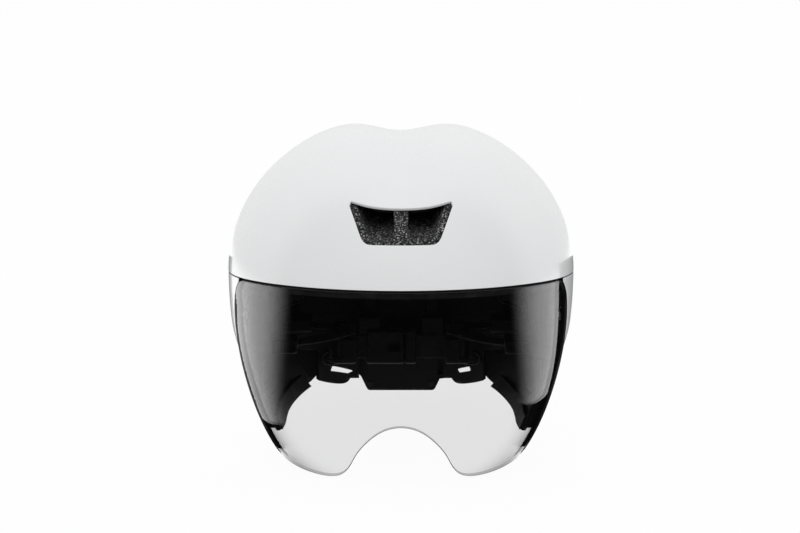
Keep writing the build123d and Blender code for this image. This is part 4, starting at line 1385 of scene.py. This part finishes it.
# %% Shell white
peel_scale, tone_scale, dust_scale = 420.0, 14.0, 2200.0
white_cool, white_warm = (0.835, 0.842, 0.850, 1), (0.850, 0.855, 0.862, 1)
white_rough, dusty_rough, peel_deep = 0.22, 0.30, 0.00003


def shell_white():
    """Gloss white paint with faint orange peel and a trace of dust in its gloss."""
    material, tree, shader, where = surface("shell_white")
    peel = noise(tree, where, peel_scale, 1.0)
    slow = noise(tree, where, tone_scale, 2.0)
    dust = noise(tree, where, dust_scale, 3.0, 0.7)
    colour = mixed(tree, ramp(tree, slow, 0.3, 0.7), white_cool, white_warm)
    rough = ramp(tree, dust, 0.35, 0.75, white_rough, dusty_rough)
    plug_in(tree, shader, Base_Color=colour, Roughness=rough, IOR=1.48, Coat_Weight=0.35,
            Coat_Roughness=0.06, Normal=bump(tree, peel, peel_deep, 0.5))
    return material


ready("shell_white", shell_white())

# %% [markdown]
# ## Black plastic and rubber
#
# The cradle, belts and buckles are satin black nylon from a mould with a fine eroded grain, a
# little paler where it is handled. Rubber is rougher, with the faint grey bloom that it gets with
# age. Both reflect little, because inside the helmet a strong gloss would show through the lens.

# %% Black plastic and rubber
plastic_grain_scale, plastic_tone_scale, plastic_gloss = 2600.0, 60.0, 0.08
rubber_grain_scale, bloom_scale, rubber_gloss = 1500.0, 90.0, 0.10
trim_level, trim_rough = 0.004, 0.45
seal_level, dial_level = 0.013, 0.02
plastic_deep, rubber_deep = 0.00006, 0.0001


def black_plastic(name, level, rough):
    """Satin black moulding with a fine grain, paler where handled."""
    material, tree, shader, where = surface(name)
    grain = noise(tree, where, plastic_grain_scale, 2.0, 0.6)
    slow = noise(tree, where, plastic_tone_scale, 3.0)
    colour = mixed(tree, ramp(tree, slow, 0.35, 0.75), grey(level), grey(level * 1.7))
    plug_in(tree, shader, Base_Color=colour, Roughness=ramp(tree, slow, 0.3, 0.8, rough, rough + 0.14),
            IOR=1.46, Specular_IOR_Level=plastic_gloss, Normal=bump(tree, grain, plastic_deep, 0.6))
    return material


def rubber(name, level):
    """Matt black rubber with a slight bloom."""
    material, tree, shader, where = surface(name)
    grain = noise(tree, where, rubber_grain_scale, 4.0, 0.7)
    bloom = noise(tree, where, bloom_scale, 4.0, 0.6)
    colour = mixed(tree, ramp(tree, bloom, 0.45, 0.8), grey(level), grey(level * 2.2))
    plug_in(tree, shader, Base_Color=colour, Roughness=ramp(tree, bloom, 0.3, 0.8, 0.55, 0.75),
            IOR=1.5, Specular_IOR_Level=rubber_gloss, Normal=bump(tree, grain, rubber_deep, 0.5))
    return material


ready("trim_black", black_plastic("trim_black", trim_level, trim_rough))
ready("seal_rubber", rubber("seal_rubber", seal_level))
ready("dial_rubber", rubber("dial_rubber", dial_level))

# %% [markdown]
# ## Metal
#
# The magnets are nickel plated and the cover screws are blackened steel. One finish serves both:
# a metal with a fine turned grain in its bump and patches of wear that are paler and rougher.

# %% Metal
turned_scale, turned_deep, wear_scale = 3200.0, 0.00002, 240.0
nickel_level, nickel_rough = 0.55, 0.2
screw_level, screw_rough, screw_brushed = 0.012, 0.45, 0.2


def metal(name, level, rough, brushed=0.0):
    """Plated or blackened steel with a fine turned finish."""
    material, tree, shader, where = surface(name)
    grain = noise(tree, where, turned_scale, 2.0)
    wear = noise(tree, where, wear_scale, 4.0, 0.65)
    colour = mixed(tree, ramp(tree, wear, 0.4, 0.8), grey(level), grey(min(level * 1.35, 1)))
    plug_in(tree, shader, Base_Color=colour, Metallic=1.0,
            Roughness=ramp(tree, wear, 0.3, 0.8, rough, rough + 0.15),
            Normal=bump(tree, grain, turned_deep, 0.3 + brushed))
    return material


ready("magnet_metal", metal("magnet_metal", nickel_level, nickel_rough))
ready("screw_steel", metal("screw_steel", screw_level, screw_rough, screw_brushed))

# %% [markdown]
# ## Foam
#
# The liner is expanded foam beads, fused in a mould. Each bead shows as a rounded cell about a
# millimetre across, and a few catch the light. Cells come from a Voronoi texture: its distance
# makes the rounded beads in the bump, and its random colour per cell picks the pale ones.
# Everywhere but the foam at the vent and the tail, outside the head space, the colour is nearly black:
# painted shade for the inside of the helmet, where little light reaches.

# %% Foam
bead_scale, bead_deep = 950.0, 0.00022
# The last of these levels is painted shade: the near black that stands in for the dark inside of the
# helmet.
bead_dark, bead_mid, bead_pale, bead_joint, painted_shade_dark = 0.080, 0.290, 0.44, 0.016, 0.003
cavity_shade_share, shade_soft_share = 1.035, 0.02
painted_shade_share = 0.985
vent_zone_z, tail_zone_y, zone_soft = 0.128, 0.105, 0.006


def foam_black():
    """Dark fused beads with some pale ones, under near-black painted shade away from the vent and the tail.
    """
    material, tree, shader, where = surface("foam_black")
    cells = add_node(tree, "ShaderNodeTexVoronoi", {"Vector": where, "Scale": bead_scale})
    chance = add_node(tree, "ShaderNodeSeparateColor", {0: cells.outputs["Color"]})
    pale = ramp(tree, chance.outputs["Red"], 0.45, 1.0)
    paler = ramp(tree, chance.outputs["Green"], 0.80, 1.0)
    beads = mixed(tree, pale, grey(bead_dark), grey(bead_mid))
    beads = mixed(tree, paler, beads, grey(bead_pale))
    joint = ramp(tree, cells.outputs["Distance"], 0.30, 0.62)
    beads = mixed(tree, joint, beads, grey(bead_joint))
    centred = add_node(tree, "ShaderNodeVectorMath", {0: where, 1: cavity_centre}, operation="SUBTRACT")
    sized = add_node(tree, "ShaderNodeVectorMath", {0: centred.outputs[0], 1: cavity_half},
                     operation="DIVIDE")
    out = add_node(tree, "ShaderNodeVectorMath", {0: sized.outputs[0]}, operation="LENGTH")
    # Painted shade: the beads show only outside the head space, at the vent or the tail, and everywhere
    # else the foam is nearly black.
    beyond_cavity = ramp(tree, out.outputs["Value"], cavity_shade_share - shade_soft_share,
                cavity_shade_share + shade_soft_share)
    place = add_node(tree, "ShaderNodeSeparateXYZ", {0: where})
    high = ramp(tree, place.outputs["Z"], vent_zone_z - zone_soft, vent_zone_z + zone_soft)
    tail = ramp(tree, place.outputs["Y"], tail_zone_y - zone_soft, tail_zone_y + zone_soft)
    lit_share = maths(tree, "MULTIPLY", beyond_cavity, maths(tree, "MAXIMUM", high, tail))
    colour = mixed(tree, lit_share, mixed(tree, painted_shade_share, beads, grey(painted_shade_dark)), beads)
    height = ramp(tree, cells.outputs["Distance"], 0.0, 0.7, 1.0, 0.0)
    plug_in(tree, shader, Base_Color=colour, Roughness=0.62, IOR=1.4, Specular_IOR_Level=0.10,
            Normal=bump(tree, height, bead_deep, 0.7))
    return material


ready("foam_black", foam_black())

# %% [markdown]
# ## Lens finish
#
# A clear moulding a couple of millimetres thick barely bends what is seen through it, so each
# face is a see-through shader mixed with a mirror one by Fresnel's share. That keeps the light
# straight and clean. The smoke is a colour that each face takes off the light, a little more at
# a slant, where the light's way through is longer.

# %% Lens finish
lens_mirror = 0.05
lens_clear, lens_slant = 0.93, 0.60
lens_wave_scale, lens_wave_deep, lens_scratch_scale = 24.0, 0.0001, 900.0
polished_rough, scratched_rough = 0.02, 0.07


def lens_smoke():
    """See-through with a slight smoke, and a polished reflection on both faces."""
    material, tree = empty_material("lens_smoke")
    where = add_node(tree, "ShaderNodeTexCoord").outputs["Object"]
    wave = bump(tree, noise(tree, where, lens_wave_scale, 2.0), lens_wave_deep, 0.25)
    slant = add_node(tree, "ShaderNodeLayerWeight", {"Blend": 0.5}).outputs["Facing"]
    smoke = mixed(tree, ramp(tree, slant, 0.35, 0.95), grey(lens_clear, 0.004), grey(lens_slant, 0.01))
    clear = add_node(tree, "ShaderNodeBsdfTransparent", {"Color": smoke})
    scratch = noise(tree, where, lens_scratch_scale, 4.0, 0.8)
    rough = ramp(tree, scratch, 0.6, 0.9, polished_rough, scratched_rough)
    shine = add_node(tree, "ShaderNodeBsdfGlossy", {"Color": grey(1.0), "Normal": wave,
                                                    "Roughness": rough})
    steep = maths(tree, "POWER", slant, 5.0)
    share = maths(tree, "ADD", lens_mirror, maths(tree, "MULTIPLY", steep, 1 - lens_mirror))
    both = add_node(tree, "ShaderNodeMixShader", {0: share, 1: clear.outputs[0], 2: shine.outputs[0]})
    add_node(tree, "ShaderNodeOutputMaterial", {0: both.outputs[0]})
    return material


ready("lens_smoke", lens_smoke())

# %% [markdown]
# ## Lens edges
#
# The cut edge of smoked plastic looks much darker than its faces, since light is seen through it
# the long way. Its rounded corners are nearly black lines, and the flat of the cut in between
# lets some light through. Low down at the rear, where the lens stands off the cover, it has a
# printed black border. The faces near each outline get these finishes.

# %% Lens edges
edge_line_share, edge_wall_share, edge_rear_share = 0.0, 0.60, 0.0
edge_fine_scale, edge_dark, edge_pale, edge_clear = 700.0, 0.015, 0.035, 0.88
lower_edge_band = 0.002
border_wide, border_top_z, border_soft_z = 0.0062, 0.100, 0.012


def lens_cut_edge(name, clear_share):
    """The cut edge of the lens, partly see-through and darker than the faces."""
    material, tree, shader, where = surface(name)
    fine = noise(tree, where, edge_fine_scale, 2.0)
    colour = mixed(tree, fine, grey(edge_dark), grey(edge_pale))
    plug_in(tree, shader, Base_Color=colour, Roughness=0.35, IOR=1.5, Specular_IOR_Level=0.12)
    clear = add_node(tree, "ShaderNodeBsdfTransparent", {"Color": grey(edge_clear)})
    both = add_node(tree, "ShaderNodeMixShader", {0: clear_share, 1: shader.outputs[0],
                                                  2: clear.outputs[0]})
    output = next(n for n in tree.nodes if n.type == "OUTPUT_MATERIAL")
    tree.links.new(both.outputs[0], output.inputs[0])
    return material


# %% [markdown]
# ## Pad cover
#
# The pads have a brushed knit cover. A knit is rows of small loops, made here from two crossed
# waves that don't depend on how the mesh is laid out, so the rows stay even after a simulation.

# %% Pad cover
knit_rows, rows_per_scale, knit_deep = 1150.0, 6.28, 0.00025
knit_dark, knit_pale, faded = 0.004, 0.012, 0.016
fuzz_scale, fade_scale = 2400.0, 45.0


def pad_fabric():
    """Black brushed knit with a soft sheen."""
    material, tree, shader, where = surface("pad_fabric")
    inputs = {"Vector": where, "Scale": knit_rows / rows_per_scale, "Distortion": 1.2, "Detail": 1.0,
              "Detail Scale": 3.0}
    one, two = (add_node(tree, "ShaderNodeTexWave", inputs, wave_type="BANDS", bands_direction=way,
                         wave_profile="SIN").outputs["Fac"] for way in ("Z", "DIAGONAL"))
    loops = maths(tree, "MULTIPLY", one, two)
    fuzz = noise(tree, where, fuzz_scale, 4.0, 0.75)
    fade = noise(tree, where, fade_scale, 3.0)
    colour = mixed(tree, loops, grey(knit_dark), grey(knit_pale))
    colour = mixed(tree, ramp(tree, fade, 0.4, 0.8, 0.0, 0.5), colour, grey(faded))
    height = maths(tree, "ADD", loops, maths(tree, "MULTIPLY", fuzz, 0.5))
    plug_in(tree, shader, Base_Color=colour, Roughness=0.86, Specular_IOR_Level=0.08, Sheen_Weight=0.05,
            Sheen_Roughness=0.4, Normal=bump(tree, height, knit_deep, 0.8))
    return material


ready("pad_fabric", pad_fabric())

# %% [markdown]
# ## Weave
#
# Webbing has ribs along it and a slanted twill across. Both are sine waves that follow the
# strap's own flat layout in real lengths, so the weave bends with the strap. An image could do
# the same, but a formula stays sharp from any distance.

# %% Weave
rib_count, twill_rows, twill_bend = 11.0, 900.0, 1.5
weave_dark, weave_pale, weave_deep = 0.004, 0.017, 0.0002
web_fuzz_scale = 300.0


def web_fabric():
    """Black woven webbing: ribs along it and a twill across them."""
    material, tree, shader, _ = surface("web_fabric")
    flat = add_node(tree, "ShaderNodeUVMap").outputs[0]
    parts = add_node(tree, "ShaderNodeSeparateXYZ", {0: flat})
    along, across = parts.outputs["X"], parts.outputs["Y"]
    ribs = maths(tree, "SINE", maths(tree, "MULTIPLY", across, 2 * math.pi * rib_count))
    turn = maths(tree, "ADD", maths(tree, "MULTIPLY", along, 2 * math.pi * twill_rows),
                 maths(tree, "MULTIPLY", ribs, twill_bend))
    twill = maths(tree, "SINE", turn)
    fuzz = noise(tree, flat, web_fuzz_scale, 3.0, 0.7)
    height = maths(tree, "ADD", maths(tree, "MULTIPLY", ribs, 0.5), maths(tree, "MULTIPLY", twill, 0.5))
    height = maths(tree, "ADD", height, fuzz)
    colour = mixed(tree, ramp(tree, height, -0.4, 1.6), grey(weave_dark), grey(weave_pale))
    plug_in(tree, shader, Base_Color=colour, Roughness=0.72, Specular_IOR_Level=0.08, Sheen_Weight=0.04,
            Sheen_Roughness=0.5, Normal=bump(tree, height, weave_deep, 0.7))
    return material


ready("web_fabric", web_fabric())

# %% [markdown]
# ## Thread
#
# The seams are sewn with waxed, twisted thread, a shade paler and shinier than the cloth round
# it, which is what lets a row of stitches be seen on a black pad.

# %% Thread
thread_twist_scale, twist_deep = 3000.0, 0.0001
thread_dark, thread_pale = 0.012, 0.06


def thread():
    """Waxed black sewing thread."""
    material, tree, shader, where = surface("thread_black")
    twist = noise(tree, where, thread_twist_scale, 2.0)
    colour = mixed(tree, twist, grey(thread_dark), grey(thread_pale))
    plug_in(tree, shader, Base_Color=colour, Roughness=0.5, Normal=bump(tree, twist, twist_deep, 0.6))
    return material


thread_finish = thread()
print("thread for", len(threads), "rows of stitches")

# %% [markdown]
# ## Finish on every piece
#
# The record names a finish for each carried piece, and the pieces made here take theirs from the piece that
# they lie on. The covers' inner sides, which face the dark gap above the foam, take near-black painted
# shade.

# %% Finish on every piece
# The covers' inner finish is painted shade: near-black plastic for the dark gap above the foam and the
# seams.
inner_shade_level, inner_rough = 0.006, 0.5
inner_painted_shade = black_plastic("inner_painted_shade", inner_shade_level, inner_rough)
for part in frame["record"]["subparts"]:
    node = nodes[part["node"]]
    node.data.materials.clear()
    node.data.materials.append(finish[part["material_slot"]])
for piece, slot_name in dressed:
    piece.data.materials.append(thread_finish if piece in threads else finish[slot_name])
for piece in painted_shade_pieces:
    piece.data.materials.append(inner_painted_shade)

# %% [markdown]
# ## Finish on the lens's faces
#
# Every face of the lens is one of four kinds, outside, rounded corner, cut or inside, and takes a
# finish by that and by where it lies. The lower edge shows a dark line with a paler cut between,
# and the rest of the outline is dark all round. The border is the last few millimetres before
# the rear edge, and narrows to nothing towards the brow.

# %% Finish on the lens's faces
border_rough = 0.55

for made in (lens_cut_edge("lens_edge_line", edge_line_share),
             lens_cut_edge("lens_cut_wall", edge_wall_share),
             lens_cut_edge("lens_rear_edge", edge_rear_share),
             black_plastic("border_black", trim_level, border_rough)):
    lens.data.materials.append(made)
FACE_FINISH, LINE_FINISH, WALL_FINISH, REAR_FINISH, BORDER_FINISH = range(5)
finish_of_side = np.array([FACE_FINISH, LINE_FINISH, WALL_FINISH, FACE_FINISH], np.int32)
lens_spots = np.empty(len(lens.data.polygons) * 3)
lens.data.polygons.foreach_get("center", lens_spots)
lens_spots = lens_spots.reshape(-1, 3)
lower_edge_near = lens_front(lens_spots) < lower_edge_band
lens_kind = finish_of_side[lens_sides]
lens_kind[(lens_kind != FACE_FINISH) & ~lower_edge_near] = REAR_FINISH
behind_lens = np.vstack([lens_rear, [(far, lens_rear[-1][1]), (far, top_z), (lens_rear[0][0], top_z)]])
rear_gap = depth_inside(lens_spots[:, 1:3], behind_lens)
border = border_wide * rise((border_top_z - lens_spots[:, 2]) / border_soft_z)
lens_kind[(lens_kind == FACE_FINISH) & (-rear_gap < border) & ~lower_edge_near] = BORDER_FINISH
lens.data.polygons.foreach_set("material_index", lens_kind)
print("border faces", int((lens_kind == BORDER_FINISH).sum()))
